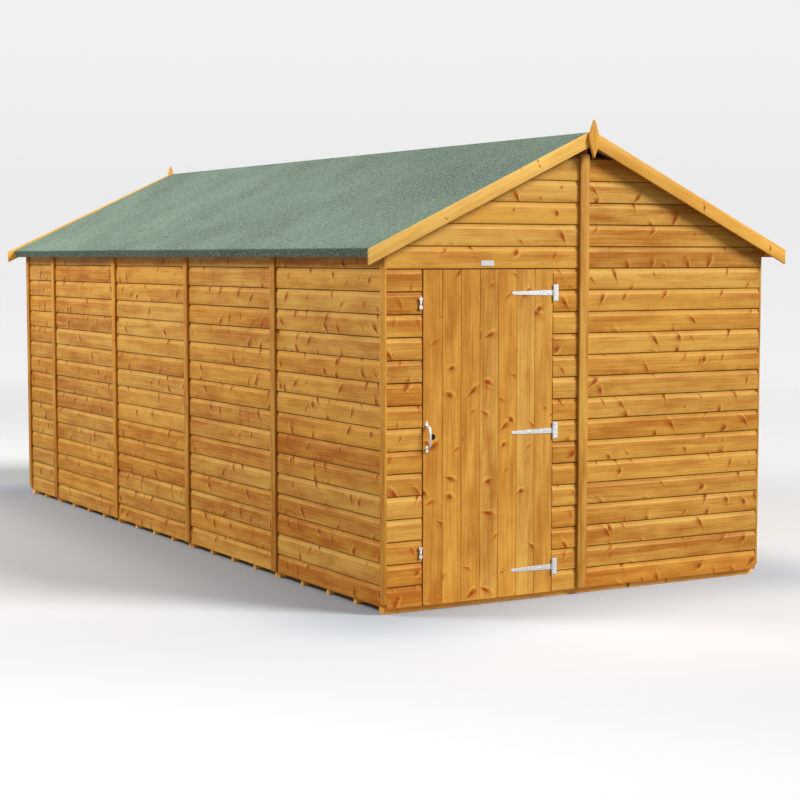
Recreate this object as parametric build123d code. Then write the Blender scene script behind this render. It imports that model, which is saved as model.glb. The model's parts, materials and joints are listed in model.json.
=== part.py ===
from build123d import *
import os
from math import atan, cos

# A timber garden shed with an apex roof, in millimetres. The origin is on the ground at the
# middle of the shed. +Z is up, the gable with the door faces -Y, and the ridge runs along Y.

# ---- Driving dimensions: the body ---------------------------------------------------------
body_width = 2380.0             # over the side wall boards
section_length = 1200.0         # one full side panel
section_count = 4               # full side panels on each side
short_section_length = 526.0    # the last, short side panel
cladding_thickness = 14.0
frame_depth = 44.0              # framing, measured through the wall
frame_width = 32.0              # framing, measured along the wall
panel_gap = 2.0                 # between two panels that are bolted together

# ---- Boards -------------------------------------------------------------------------------
board_pitch = 113.0
cladding_bottom = 32.0
first_joint_height = 140.0      # top of the lowest board
door_rows = 14                  # joints from the lowest one up to the door's top
gable_vent_height = 100.0       # least open height left under the ridge, over the gable boards
top_tongue = 10.0               # the top gable board's tongue, above its joint line

# ---- Floor --------------------------------------------------------------------------------
joist_height = 32.0
joist_width = 28.0
joist_spacing = 300.0
joist_pair_gap = 4.0            # between the two joists where floor sections meet
end_joist_width = 47.0
end_joist_setback = 19.0        # decking's edge to the joist at each end of the floor
decking_thickness = 11.0

# ---- Roof ---------------------------------------------------------------------------------
ridge_height = 2430.0
eaves_top_height = 1817.0       # bargeboard's top corner at the eaves
eaves_overhang = 133.0          # wall boards to the bargeboard's end
gable_overhang = 62.0           # wall boards to the bargeboard's outer face
felt_thickness = 3.0
bargeboard_rise_ridge = 6.5     # bargeboard's top above the felt, at the ridge
bargeboard_rise_eaves = 14.0    # the same at the felt's eaves corner
felt_eaves_inset = 45.0         # bargeboard's end to the felt's eaves corner
felt_fold_drop = 47.0           # felt's eaves corner to its folded lower edge
felt_fold_lean = 15.0           # how far the fold leans inwards over that drop
felt_drop_lap = 3.0             # the felt hangs this far below its batten
roof_board_thickness = 12.0
eaves_batten_width = 32.0
bargeboard_depth = 77.0         # measured plumb
bargeboard_thickness = 15.0
bargeboard_joint_gap = 1.0      # at the ridge, behind the finial
finial_height = 197.0
finial_width = 66.0
finial_thickness = 18.0
finial_rise = 55.0              # above the ridge
finial_waist_drop = 100.0       # from its tip to its widest place
finial_bulge = 2.0              # how far each side bows out
rafter_heel = 18.0              # rafter's height where it leaves the wall plate
rafter_depth = 58.0
collar_tie_drop = 290.0         # ridge to the collar tie's underside
collar_tie_depth = 58.0
collar_tie_thickness = 20.0

# ---- Trim ---------------------------------------------------------------------------------
strip_width = 56.0
side_strip_thickness = 14.0
gable_strip_thickness = 16.0
gable_strip_offset = -12.0      # the gable's two panels meet left of the middle
gable_strip_rise = 14.0         # above the gable boards
strip_bottom_lift = 3.0         # above the bottom of the boards
corner_trim_width = 46.0
corner_trim_lift = 23.0         # above the bottom of the boards
side_trim_top_gap = 8.0

# ---- Door ---------------------------------------------------------------------------------
door_corner_distance = 201.0    # corner of the wall to the door's opening
door_opening_width = 792.0
door_gap = 6.0
door_board_count = 7
door_board_thickness = 11.0
door_proud = 2.0                # the leaf stands this far in front of the wall boards
door_stop_overlap = 12.0        # how far the door frame reaches behind the leaf
ledge_thickness = 22.0
ledge_depth = 95.0
ledge_inset = 20.0
brace_width = 80.0
hinge_end_distance = 121.0      # door's top to the top hinge's middle
hinge_foot_distance = 132.0     # door's bottom to the bottom hinge's middle

# ---- Hinges -------------------------------------------------------------------------------
hinge_pin_forward = 8.0         # pin axis in front of the wall boards
hinge_pin_radius = 3.0
hinge_pin_clearance = 0.1
knuckle_radius = 5.0
knuckle_gap = 0.6
plate_width = 33.0
plate_height = 85.0
plate_thickness = 2.5
plate_pin_overlap = 1.5         # how far the plate's edge is from the pin axis
strap_length = 257.0
strap_root_height = 28.0
strap_tip_height = 16.0
strap_thickness = 2.5
strap_knuckle_height = 36.0

# ---- Handle, lock, turn buttons, plate ----------------------------------------------------
handle_inset = 20.0             # door's edge to the handle's middle
handle_rise = 2.5               # middle hinge to the handle's middle
handle_length = 160.0
handle_foot_length = 36.0
handle_foot_width = 18.0
handle_bow_width = 14.0
handle_bar_thickness = 4.0
handle_reach = 40.0
handle_bow_taper = 14.0
key_hole_inset = 55.0           # door's edge to the key hole's middle
key_hole_rise = 0.5             # middle hinge to the key hole's middle
key_hole_radius = 13.5
lock_width = 90.0
lock_height = 110.0
lock_thickness = 22.0
lock_edge_inset = 25.0
keep_thickness = 2.5
keep_height = 90.0
keep_depth = 26.0
button_pivot_distance = 11.5    # door's opening to the turn button's screw
lower_button_lift = 269.0       # door's bottom to the lower screw
upper_button_drop = 166.0       # door's top to the upper screw
button_length = 63.0
button_end_radius = 10.5
button_waist_width = 12.0
button_thickness = 4.0
button_standoff = 7.0
button_pin_radius = 3.0
button_pin_clearance = 0.1
button_face_clearance = 0.3
button_collar_radius = 5.0
button_screw_head_radius = 5.5
button_screw_head_height = 2.5
name_plate_offset = -11.0       # from the middle of the door
name_plate_lift = 26.0          # its middle above the joint over the door
name_plate_width = 78.0
name_plate_depth = 27.0
name_plate_thickness = 1.5

# ---- Derived places -----------------------------------------------------------------------
half_width = body_width / 2
wall_depth = cladding_thickness + frame_depth
body_length = 2 * wall_depth + section_count * section_length + short_section_length
half_length = body_length / 2
front_face = -half_length
roof_half_width = half_width + eaves_overhang
bargeboard_slope = (ridge_height - eaves_top_height) / roof_half_width
felt_ridge_height = ridge_height - bargeboard_rise_ridge
felt_half_width = roof_half_width - felt_eaves_inset
felt_eaves_height = ridge_height - bargeboard_slope * felt_half_width - bargeboard_rise_eaves
roof_slope = (felt_ridge_height - felt_eaves_height) / felt_half_width
plumb = 1 / cos(atan(roof_slope))           # plumb depth of a thickness laid on the slope
felt_plumb = felt_thickness * plumb
roof_underside_drop = (felt_thickness + roof_board_thickness) * plumb
fold_lean = felt_fold_lean / felt_fold_drop
fold_level = felt_thickness / cos(atan(fold_lean))      # level width of the fold's thickness
roof_half_length = half_length + gable_overhang - bargeboard_thickness
deck_top = joist_height + decking_thickness
frame_outer_x = half_width - cladding_thickness
frame_inner_x = half_width - wall_depth
door_top_joint = first_joint_height + door_rows * board_pitch
gable_height = felt_ridge_height - roof_underside_drop - gable_vent_height
gable_rows = int((gable_height - first_joint_height) / board_pitch)
gable_board_top = first_joint_height + gable_rows * board_pitch + top_tongue
felt_drop_bottom = felt_eaves_height - felt_fold_drop
eaves_batten_bottom = felt_drop_bottom + felt_drop_lap
end_joist_reach = end_joist_setback + end_joist_width + joist_width
collar_tie_height = ridge_height - collar_tie_drop
door_opening_left = door_corner_distance - half_width
door_opening_right = door_opening_left + door_opening_width
door_left = door_opening_left + door_gap
door_right = door_opening_right - door_gap
door_width = door_right - door_left
door_board_width = door_width / door_board_count
door_top = door_top_joint - door_gap
header_bottom = door_top - door_stop_overlap
header_top = header_bottom + frame_width
rail_plumb = frame_width * plumb
hinge_pin_x = (door_right + door_opening_right) / 2
top_hinge = door_top - hinge_end_distance
bottom_hinge = cladding_bottom + hinge_foot_distance
hinge_heights = [bottom_hinge, (bottom_hinge + top_hinge) / 2, top_hinge]
handle_centre_x = door_left + handle_inset
handle_centre_height = hinge_heights[1] + handle_rise
key_hole_x = door_left + key_hole_inset
key_hole_height = hinge_heights[1] + key_hole_rise
button_pivot_x = door_opening_left - button_pivot_distance
button_heights = {"lower": cladding_bottom + lower_button_lift, "upper": door_top - upper_button_drop}
name_plate_x = (door_left + door_right) / 2 + name_plate_offset
name_plate_height = door_top_joint + name_plate_lift
strip_bottom = cladding_bottom + strip_bottom_lift
corner_trim_bottom = cladding_bottom + corner_trim_lift


def bargeboard_top(x):
    """Height of a bargeboard's top edge at a distance x from the ridge's plane."""
    return ridge_height - bargeboard_slope * abs(x)


def roof_top(x):
    """Height of the felt's surface at a distance x from the ridge's plane."""
    return felt_ridge_height - roof_slope * abs(x)


def roof_underside(x):
    """Height of the underside of the roof boards."""
    return roof_top(x) - roof_underside_drop


def fold_x(z):
    """X of the inner face of the felt's fold at a height z."""
    return felt_half_width - fold_level - fold_lean * (felt_eaves_height - z)


def edge_x(drop):
    """X where a layer laid a plumb drop below the felt's surface meets the fold's inner face."""
    return felt_half_width - (fold_level + fold_lean * drop) / (1 + fold_lean * roof_slope)


wall_plate_top = roof_underside(frame_outer_x) - rafter_heel


# ---- Small makers -------------------------------------------------------------------------
def block(x0, x1, y0, y1, z0, z1):
    """A box between two corners."""
    return Pos((x0 + x1) / 2, (y0 + y1) / 2, (z0 + z1) / 2) * Box(x1 - x0, y1 - y0, z1 - z0)


def prism_y(points, y0, y1):
    """An outline in X and Z, drawn out from y0 to y1."""
    plane = Plane(origin=(0, y1, 0), x_dir=(1, 0, 0), z_dir=(0, -1, 0))
    return extrude(plane * make_face(Polyline(*points, close=True)), amount=y1 - y0)


def prism_x(points, x0, x1):
    """An outline in Y and Z, drawn out from x0 to x1."""
    plane = Plane(origin=(x0, 0, 0), x_dir=(0, 1, 0), z_dir=(1, 0, 0))
    return extrude(plane * make_face(Polyline(*points, close=True)), amount=x1 - x0)


def rod_z(x, y, z0, z1, radius):
    """An upright round bar."""
    return Pos(x, y, (z0 + z1) / 2) * Cylinder(radius, z1 - z0)


def rod_y(x, z, y0, y1, radius):
    """A round bar along Y."""
    return Pos(x, (y0 + y1) / 2, z) * Rot(90, 0, 0) * Cylinder(radius, y1 - y0)


def mirror_x(shapes):
    """The same pieces on the other side of the ridge's plane."""
    return [shape.mirror(Plane.YZ) for shape in shapes]


def mirror_y(shapes):
    """The same pieces on the other gable."""
    return [shape.mirror(Plane.XZ) for shape in shapes]


def write(node, solids):
    """Write one node's solids to its own file."""
    shape = solids[0] if len(solids) == 1 else Compound(children=[Part(s.wrapped) for s in solids])
    export_step(shape, os.path.join("parts", node + ".step"))


# ---- Floor --------------------------------------------------------------------------------
def section_edges():
    """Y of every joint between side panels, and of the floor's two ends."""
    first = front_face + wall_depth + section_length
    joints = [first + n * section_length for n in range(section_count)]
    return [front_face + cladding_thickness] + joints + [half_length - cladding_thickness]


def joist_places():
    """Middle of each joist along Y between the two end joists."""
    places = []
    edges = section_edges()
    half_pair = (joist_width + joist_pair_gap) / 2
    for start, end in zip(edges, edges[1:]):
        at_front = start == edges[0]
        at_rear = end == edges[-1]
        low = start + (end_joist_reach if at_front else joist_width * 2)
        high = end - (end_joist_reach if at_rear else joist_width * 2)
        step = -joist_spacing if at_front else joist_spacing
        place = (end if at_front else start) + step
        while low < place < high:
            places.append(place)
            place += step
        if not at_front:
            places.append(start + half_pair)
        if not at_rear:
            places.append(end - half_pair)
    return sorted(places)


def make_floor():
    joists = [block(-frame_outer_x, frame_outer_x, y - joist_width / 2, y + joist_width / 2, 0, joist_height)
              for y in joist_places()]
    end_face = front_face + cladding_thickness + end_joist_setback
    end_joist = block(-half_width, half_width, end_face, end_face + end_joist_width, 0, joist_height)
    joists += [end_joist] + mirror_y([end_joist])
    write("floor_joists", joists)
    edges = section_edges()
    decks = []
    for start, end in zip(edges, edges[1:]):
        y0 = start if start == edges[0] else start + panel_gap / 2
        y1 = end if end == edges[-1] else end - panel_gap / 2
        decks.append(block(-frame_outer_x, frame_outer_x, y0, y1, joist_height, deck_top))
    write("floor_decking", decks)


# ---- Side walls ---------------------------------------------------------------------------
def side_panels():
    """Start and end along Y of each side panel's frame."""
    edges = section_edges()
    edges[0] = front_face + wall_depth
    edges[-1] = half_length - wall_depth
    panels = []
    for start, end in zip(edges, edges[1:]):
        y0 = start if start == edges[0] else start + panel_gap / 2
        y1 = end if end == edges[-1] else end - panel_gap / 2
        panels.append((y0, y1))
    return panels


def make_side_walls():
    board_top = roof_underside(half_width)
    boards = []
    edges = section_edges()
    for start, end in zip(edges, edges[1:]):
        y0 = start if start == edges[0] else start + panel_gap / 2
        y1 = end if end == edges[-1] else end - panel_gap / 2
        boards.append(block(-half_width, -frame_outer_x, y0, y1, cladding_bottom, board_top))
    write("left_wall_boards", boards)
    write("right_wall_boards", mirror_x(boards))

    rails = []
    studs = []
    rail_heights = [deck_top, wall_plate_top - frame_width]
    for y0, y1 in side_panels():
        for z0 in rail_heights:
            rails.append(block(-frame_outer_x, -frame_inner_x, y0, y1, z0, z0 + frame_width))
        stud_starts = [y0, y1 - frame_width]
        if y1 - y0 > section_length / 2:
            stud_starts.append((y0 + y1 - frame_width) / 2)
        for start in stud_starts:
            studs.append(block(-frame_outer_x, -frame_inner_x, start, start + frame_width,
                               deck_top + frame_width, wall_plate_top - frame_width))
    write("side_wall_rails", rails + mirror_x(rails))
    write("side_wall_studs", studs + mirror_x(studs))

    strips = []
    strip_outer = half_width + side_strip_thickness
    strip_top = roof_underside(strip_outer) - side_trim_top_gap
    for y in edges[1:-1]:
        strips.append(block(-strip_outer, -half_width, y - strip_width / 2, y + strip_width / 2,
                            strip_bottom, strip_top))
    write("left_cover_strips", strips)
    write("right_cover_strips", mirror_x(strips))

    corner = block(-strip_outer, -half_width, front_face, front_face + corner_trim_width,
                   corner_trim_bottom, strip_top)
    front_pair = [corner] + mirror_x([corner])
    write("front_corner_trims", front_pair)
    write("rear_corner_trims", mirror_y(front_pair))


# ---- Gable walls --------------------------------------------------------------------------
def gable_outline(x0, x1, z0):
    """Outline of gable boards between x0 and x1, from z0 up under the roof or to the flat top."""
    flat_half = (roof_underside(0) - gable_board_top) / roof_slope
    points = [(x0, z0), (x1, z0)]
    for x in (x1, flat_half, -flat_half, x0):
        inside = x0 <= x <= x1
        if inside:
            points.append((x, min(roof_underside(x), gable_board_top)))
    return points


def gable_stud(x0, x1, y0, y1, z0):
    """A short stud from z0 up to the underside of the sloping rail."""
    points = [(x0, z0), (x1, z0), (x1, roof_underside(x1) - rail_plumb), (x0, roof_underside(x0) - rail_plumb)]
    return prism_y(points, y0, y1)


def sloping_rail(x0, x1, y0, y1):
    """The rail that runs up the gable under the roof boards."""
    points = [(x0, roof_underside(x0) - rail_plumb), (x1, roof_underside(x1) - rail_plumb),
              (x1, roof_underside(x1)), (x0, roof_underside(x0))]
    return prism_y(points, y0, y1)


def gable_frame(lower_stud_starts, joint, y0, y1):
    """Rails and studs of a gable whose two panels meet at X = joint."""
    left_end = joint - panel_gap / 2
    right_start = joint + panel_gap / 2
    rails = []
    for x0, x1 in ((-frame_outer_x, left_end), (right_start, frame_outer_x)):
        rails.append(block(x0, x1, y0, y1, deck_top, deck_top + frame_width))
        rails.append(block(x0, x1, y0, y1, header_bottom, header_top))
    # Each sloping rail stops at the ridge's plane; the joint lies left of it, so the right
    # panel's rail turns down again over its short stretch left of the ridge.
    rails.append(sloping_rail(-frame_outer_x, left_end, y0, y1))
    crest = [(right_start, roof_underside(right_start) - rail_plumb), (0, roof_underside(0) - rail_plumb),
             (frame_outer_x, roof_underside(frame_outer_x) - rail_plumb),
             (frame_outer_x, roof_underside(frame_outer_x)), (0, roof_underside(0)),
             (right_start, roof_underside(right_start))]
    rails.append(prism_y(crest, y0, y1))
    studs = []
    for x0 in lower_stud_starts:
        studs.append(block(x0, x0 + frame_width, y0, y1, deck_top + frame_width, header_bottom))
    middle = (left_end - frame_outer_x) / 2
    upper = [-frame_outer_x, middle - frame_width / 2, left_end - frame_width,
             -middle - frame_width / 2, frame_outer_x - frame_width]
    for x0 in upper:
        studs.append(gable_stud(x0, x0 + frame_width, y0, y1, header_top))
    x0, x1 = right_start, right_start + frame_width
    peak = [(x0, header_top), (x1, header_top), (x1, roof_underside(x1) - rail_plumb),
            (0, roof_underside(0) - rail_plumb), (x0, roof_underside(x0) - rail_plumb)]
    studs.append(prism_y(peak, y0, y1))
    return rails, studs


def make_front_wall():
    y0, y1 = front_face, front_face + cladding_thickness
    joint = gable_strip_offset
    write("front_boards_left_of_door",
          [block(-half_width, door_opening_left, y0, y1, cladding_bottom, door_top_joint)])
    write("front_boards_right_of_door",
          [block(door_opening_right, joint - panel_gap / 2, y0, y1, cladding_bottom, door_top_joint)])
    write("front_boards_over_door",
          [prism_y(gable_outline(-half_width, joint - panel_gap / 2, door_top_joint), y0, y1)])
    write("front_boards_right_panel",
          [prism_y(gable_outline(joint + panel_gap / 2, half_width, cladding_bottom), y0, y1)])
    door_stud_left = door_left + door_stop_overlap - frame_width
    door_stud_right = door_right - door_stop_overlap
    lower = [-frame_outer_x, door_stud_left, door_stud_right, joint - panel_gap / 2 - frame_width,
             joint + panel_gap / 2, (frame_outer_x - frame_width) / 2, frame_outer_x - frame_width]
    rails, studs = gable_frame(lower, joint, front_face + cladding_thickness, front_face + wall_depth)
    write("front_wall_rails", rails)
    write("front_wall_studs", studs)
    strip = block(joint - strip_width / 2, joint + strip_width / 2, front_face - gable_strip_thickness,
                  front_face, strip_bottom, gable_board_top + gable_strip_rise)
    write("front_cover_strip", [strip])


def make_rear_wall():
    y0, y1 = half_length - cladding_thickness, half_length
    joint = gable_strip_offset
    write("rear_wall_boards",
          [prism_y(gable_outline(-half_width, joint - panel_gap / 2, cladding_bottom), y0, y1),
           prism_y(gable_outline(joint + panel_gap / 2, half_width, cladding_bottom), y0, y1)])
    quarter = frame_outer_x / 2
    lower = [-frame_outer_x, -quarter - frame_width / 2, joint - panel_gap / 2 - frame_width,
             joint + panel_gap / 2, quarter - frame_width / 2, frame_outer_x - frame_width]
    rails, studs = gable_frame(lower, joint, half_length - wall_depth, half_length - cladding_thickness)
    write("rear_wall_rails", rails)
    write("rear_wall_studs", studs)
    strip = block(joint - strip_width / 2, joint + strip_width / 2, half_length,
                  half_length + gable_strip_thickness, strip_bottom, gable_board_top + gable_strip_rise)
    write("rear_cover_strip", [strip])


# ---- Roof ---------------------------------------------------------------------------------
def make_roof():
    y0, y1 = -roof_half_length, roof_half_length
    low_edge = edge_x(roof_underside_drop)
    top_edge = edge_x(felt_plumb)
    boards = prism_y([(0, roof_underside(0)), (low_edge, roof_underside(low_edge)),
                      (top_edge, roof_top(top_edge) - felt_plumb), (0, roof_top(0) - felt_plumb)], y0, y1)
    write("roof_boards_right", [boards])
    write("roof_boards_left", mirror_x([boards]))

    fold_foot = fold_x(felt_drop_bottom)
    felt = prism_y([(0, roof_top(0) - felt_plumb), (top_edge, roof_top(top_edge) - felt_plumb),
                    (fold_foot, felt_drop_bottom), (fold_foot + fold_level, felt_drop_bottom),
                    (felt_half_width, felt_eaves_height), (0, roof_top(0))], y0, y1)
    write("roof_felt_right", [felt])
    write("roof_felt_left", mirror_x([felt]))

    inner = fold_x(eaves_batten_bottom) - eaves_batten_width
    batten = prism_y([(inner, eaves_batten_bottom), (fold_x(eaves_batten_bottom), eaves_batten_bottom),
                      (low_edge, roof_underside(low_edge)), (inner, roof_underside(inner))], y0, y1)
    write("eaves_battens", [batten] + mirror_x([batten]))

    rafters = []
    ties = []
    rafter_plumb = rafter_depth * plumb
    start = panel_gap / 2
    outline = [(start, roof_underside(start) - rafter_plumb),
               (frame_inner_x, roof_underside(frame_inner_x) - rafter_plumb),
               (frame_inner_x, wall_plate_top), (frame_outer_x, wall_plate_top),
               (frame_outer_x, roof_underside(frame_outer_x)), (start, roof_underside(start))]
    tie_top = collar_tie_height + collar_tie_depth
    low_reach = (roof_underside(0) - collar_tie_height) / roof_slope
    high_reach = (roof_underside(0) - tie_top) / roof_slope
    tie_outline = [(-low_reach, collar_tie_height), (low_reach, collar_tie_height),
                   (high_reach, tie_top), (-high_reach, tie_top)]
    for y in section_edges()[1:-1]:
        rafters.append(prism_y(outline, y - frame_width / 2, y + frame_width / 2))
        tie_start = y + frame_width / 2
        ties.append(prism_y(tie_outline, tie_start, tie_start + collar_tie_thickness))
    write("rafters", rafters + mirror_x(rafters))
    write("collar_ties", ties)


def make_bargeboards():
    y0 = front_face - gable_overhang
    y1 = y0 + bargeboard_thickness
    start = bargeboard_joint_gap / 2
    end = roof_half_width
    board = prism_y([(start, bargeboard_top(start) - bargeboard_depth),
                     (end, bargeboard_top(end) - bargeboard_depth),
                     (end, bargeboard_top(end)), (start, bargeboard_top(start))], y0, y1)
    front_pair = [board] + mirror_x([board])
    write("front_bargeboards", front_pair)
    write("rear_bargeboards", mirror_y(front_pair))

    tip = ridge_height + finial_rise
    foot = tip - finial_height
    waist = tip - finial_waist_drop
    corners = [(0, tip), (finial_width / 2, waist), (0, foot), (-finial_width / 2, waist)]
    sides = []
    for (xa, za), (xb, zb) in zip(corners, corners[1:] + corners[:1]):
        run = ((xb - xa) ** 2 + (zb - za) ** 2) ** 0.5
        middle = ((xa + xb) / 2 - finial_bulge * (zb - za) / run, (za + zb) / 2 + finial_bulge * (xb - xa) / run)
        sides.append(ThreePointArc((xa, za), middle, (xb, zb)))
    plane = Plane(origin=(0, y0, 0), x_dir=(1, 0, 0), z_dir=(0, -1, 0))
    finial = extrude(plane * make_face(Curve() + sides), amount=finial_thickness)
    write("front_finial", [finial])
    write("rear_finial", mirror_y([finial]))


# ---- Door ---------------------------------------------------------------------------------
def make_door():
    outer = front_face - door_proud
    inner = outer + door_board_thickness
    lock_board_edge = door_left + door_board_width
    lock_board = block(door_left, lock_board_edge, outer, inner, cladding_bottom, door_top)
    lock_board -= rod_y(key_hole_x, key_hole_height, outer - 1, inner + 1, key_hole_radius)
    write("door_lock_board", [lock_board])
    write("door_boards", [block(lock_board_edge, door_right, outer, inner, cladding_bottom, door_top)])

    back = inner + ledge_thickness
    left = door_left + ledge_inset
    right = door_right - ledge_inset
    lock_left = door_left + lock_edge_inset
    lock_right = lock_left + lock_width
    ledges = []
    for height in hinge_heights:
        start = lock_right if abs(height - key_hole_height) < ledge_depth else left
        ledges.append(block(start, right, inner, back, height - ledge_depth / 2, height + ledge_depth / 2))
    write("door_ledges", ledges)

    braces = []
    for low, high in zip(hinge_heights, hinge_heights[1:]):
        z0 = low + ledge_depth / 2
        z1 = high - ledge_depth / 2
        head = lock_right if abs(high - key_hole_height) < ledge_depth else left
        foot = right
        braces.append(prism_y([(foot - brace_width, z0), (foot, z0), (head + brace_width, z1), (head, z1)],
                              inner, back))
    write("door_braces", braces)

    lock = block(lock_left, lock_right, inner, inner + lock_thickness,
                 key_hole_height - lock_height / 2, key_hole_height + lock_height / 2)
    write("rim_lock", [lock])
    stud_face = door_left + door_stop_overlap
    keep_start = front_face + cladding_thickness
    keep = block(stud_face, stud_face + keep_thickness, keep_start, keep_start + keep_depth,
                 key_hole_height - keep_height / 2, key_hole_height + keep_height / 2)
    write("lock_keep", [keep])

    x0 = handle_centre_x - handle_bow_width / 2
    x1 = handle_centre_x + handle_bow_width / 2
    z0 = handle_centre_height - handle_length / 2
    z1 = handle_centre_height + handle_length / 2
    root0 = z0 + handle_foot_length
    root1 = z1 - handle_foot_length
    front = outer - handle_reach
    bar = handle_bar_thickness
    profile = [(outer, z0), (outer, root0 + bar), (front + bar, root0 + handle_bow_taper + bar),
               (front + bar, root1 - handle_bow_taper - bar), (outer, root1 - bar), (outer, z1),
               (outer - bar, z1), (outer - bar, root1), (front, root1 - handle_bow_taper),
               (front, root0 + handle_bow_taper), (outer - bar, root0), (outer - bar, z0)]
    handle = prism_x(profile, x0, x1)
    foot_x0 = handle_centre_x - handle_foot_width / 2
    foot_x1 = handle_centre_x + handle_foot_width / 2
    for low, high in ((z0, root0), (root1, z1)):
        handle += block(foot_x0, foot_x1, outer - bar, outer, low, high)
    write("door_handle", [handle])


def make_hinges():
    pin_x = hinge_pin_x
    pin_y = front_face - hinge_pin_forward
    leaf_face = front_face - door_proud
    plates = []
    straps = []
    for height in hinge_heights:
        low = height - plate_height / 2
        high = height + plate_height / 2
        middle_low = height - strap_knuckle_height / 2
        middle_high = height + strap_knuckle_height / 2
        plate = block(pin_x + plate_pin_overlap, pin_x + plate_width, front_face - plate_thickness,
                      front_face, low, high)
        for z0, z1 in ((low, middle_low - knuckle_gap), (middle_high + knuckle_gap, high)):
            plate += rod_z(pin_x, pin_y, z0, z1, knuckle_radius)
            plate += block(pin_x, pin_x + knuckle_radius, pin_y, front_face, z0, z1)
        plate += rod_z(pin_x, pin_y, low, high, hinge_pin_radius)
        plates.append(plate)

        tip_x = pin_x - strap_length
        outline = [(pin_x - knuckle_radius, height - strap_root_height / 2),
                   (pin_x - knuckle_radius, height + strap_root_height / 2),
                   (tip_x, height + strap_tip_height / 2), (tip_x, height - strap_tip_height / 2)]
        strap = prism_y(outline, leaf_face - strap_thickness, leaf_face)
        strap += block(pin_x - knuckle_radius, pin_x, pin_y, leaf_face, middle_low, middle_high)
        strap += rod_z(pin_x, pin_y, middle_low, middle_high, knuckle_radius)
        strap -= rod_z(pin_x, pin_y, middle_low - 1, middle_high + 1, hinge_pin_radius + hinge_pin_clearance)
        straps.append(strap)
    write("hinge_plates", plates)
    write("hinge_straps", straps)


def make_turn_buttons():
    back = front_face - button_standoff
    front = back - button_thickness
    head_back = front - button_face_clearance
    screws = []
    for name, height in button_heights.items():
        reach = button_length / 2 - button_end_radius
        button = rod_y(button_pivot_x, height - reach, front, back, button_end_radius)
        button += rod_y(button_pivot_x, height + reach, front, back, button_end_radius)
        button += block(button_pivot_x - button_waist_width / 2, button_pivot_x + button_waist_width / 2,
                        front, back, height - reach, height + reach)
        button -= rod_y(button_pivot_x, height, front - 1, back + 1, button_pin_radius + button_pin_clearance)
        write(name + "_turn_button", [button])
        screw = rod_y(button_pivot_x, height, back + button_face_clearance, front_face, button_collar_radius)
        screw += rod_y(button_pivot_x, height, head_back, front_face, button_pin_radius)
        screw += rod_y(button_pivot_x, height, head_back - button_screw_head_height, head_back,
                       button_screw_head_radius)
        screws.append(screw)
    write("turn_button_screws", screws)


def make_name_plate():
    plate = block(name_plate_x - name_plate_width / 2, name_plate_x + name_plate_width / 2,
                  front_face - name_plate_thickness, front_face,
                  name_plate_height - name_plate_depth / 2, name_plate_height + name_plate_depth / 2)
    write("name_plate", [plate])


os.makedirs("parts", exist_ok=True)
make_floor()
make_side_walls()
make_front_wall()
make_rear_wall()
make_roof()
make_bargeboards()
make_door()
make_hinges()
make_turn_buttons()
make_name_plate()
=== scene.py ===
"""Looks of a timber garden shed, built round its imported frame.

Every board, nail and fitting is made in metres in the frame's own axes: +Z is up, the gable with
the door faces -Y, and the ridge runs along Y.
"""

import functools
import json
import logging
import math
import random
from collections.abc import Iterable, Sequence
from dataclasses import dataclass, field
from enum import Enum

import bmesh
import bpy
import numpy as np
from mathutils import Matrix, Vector, noise

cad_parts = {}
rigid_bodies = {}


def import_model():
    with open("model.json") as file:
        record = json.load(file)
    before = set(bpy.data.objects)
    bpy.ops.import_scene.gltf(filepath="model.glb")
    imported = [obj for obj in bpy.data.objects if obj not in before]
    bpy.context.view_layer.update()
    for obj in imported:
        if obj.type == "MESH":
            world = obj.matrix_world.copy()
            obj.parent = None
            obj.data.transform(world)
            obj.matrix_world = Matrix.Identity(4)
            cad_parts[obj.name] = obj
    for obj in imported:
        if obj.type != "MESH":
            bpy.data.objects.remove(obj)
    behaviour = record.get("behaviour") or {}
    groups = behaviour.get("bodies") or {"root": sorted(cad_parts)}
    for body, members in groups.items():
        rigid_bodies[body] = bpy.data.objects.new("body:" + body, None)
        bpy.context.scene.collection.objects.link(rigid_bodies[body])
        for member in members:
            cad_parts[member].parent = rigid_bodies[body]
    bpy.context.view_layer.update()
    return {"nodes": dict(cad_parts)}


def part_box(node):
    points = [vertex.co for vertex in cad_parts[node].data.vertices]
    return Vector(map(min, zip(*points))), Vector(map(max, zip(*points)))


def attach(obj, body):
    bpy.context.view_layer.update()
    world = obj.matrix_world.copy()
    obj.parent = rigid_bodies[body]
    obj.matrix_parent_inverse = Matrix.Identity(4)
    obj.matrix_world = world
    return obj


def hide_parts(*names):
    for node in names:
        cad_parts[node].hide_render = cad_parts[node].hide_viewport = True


log = logging.getLogger("shed")

Face = tuple[int, ...]
Outline = list[tuple[float, float]]
Colour = tuple[float, float, float]
Socket = bpy.types.NodeSocket
Value = Socket | float | tuple

UP = Vector((0, 0, 1))
RIGHT = Vector((1, 0, 0))
LEFT = Vector((-1, 0, 0))
BACK = Vector((0, 1, 0))
FRONT = Vector((0, -1, 0))
TOUCH = 0.0005                      # corners nearer than this share a plane


class Body(Enum):
    """The bodies that pieces ride on."""

    SHED = "shed"
    DOOR = "door"
    LOWER_BUTTON = "lower_button"
    UPPER_BUTTON = "upper_button"


class Slot(Enum):
    """The record's material slots."""

    CLADDING = "cladding_timber"
    DOOR = "door_timber"
    WALL_TRIM = "wall_trim_timber"
    ROOF_TRIM = "roof_trim_timber"
    FRAMING = "framing_timber"
    SHEETING = "sheeting_timber"
    FELT = "roof_felt"
    ZINC = "galvanised_steel"
    LACQUER = "lock_black"
    PLATE = "plate_white"


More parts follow.
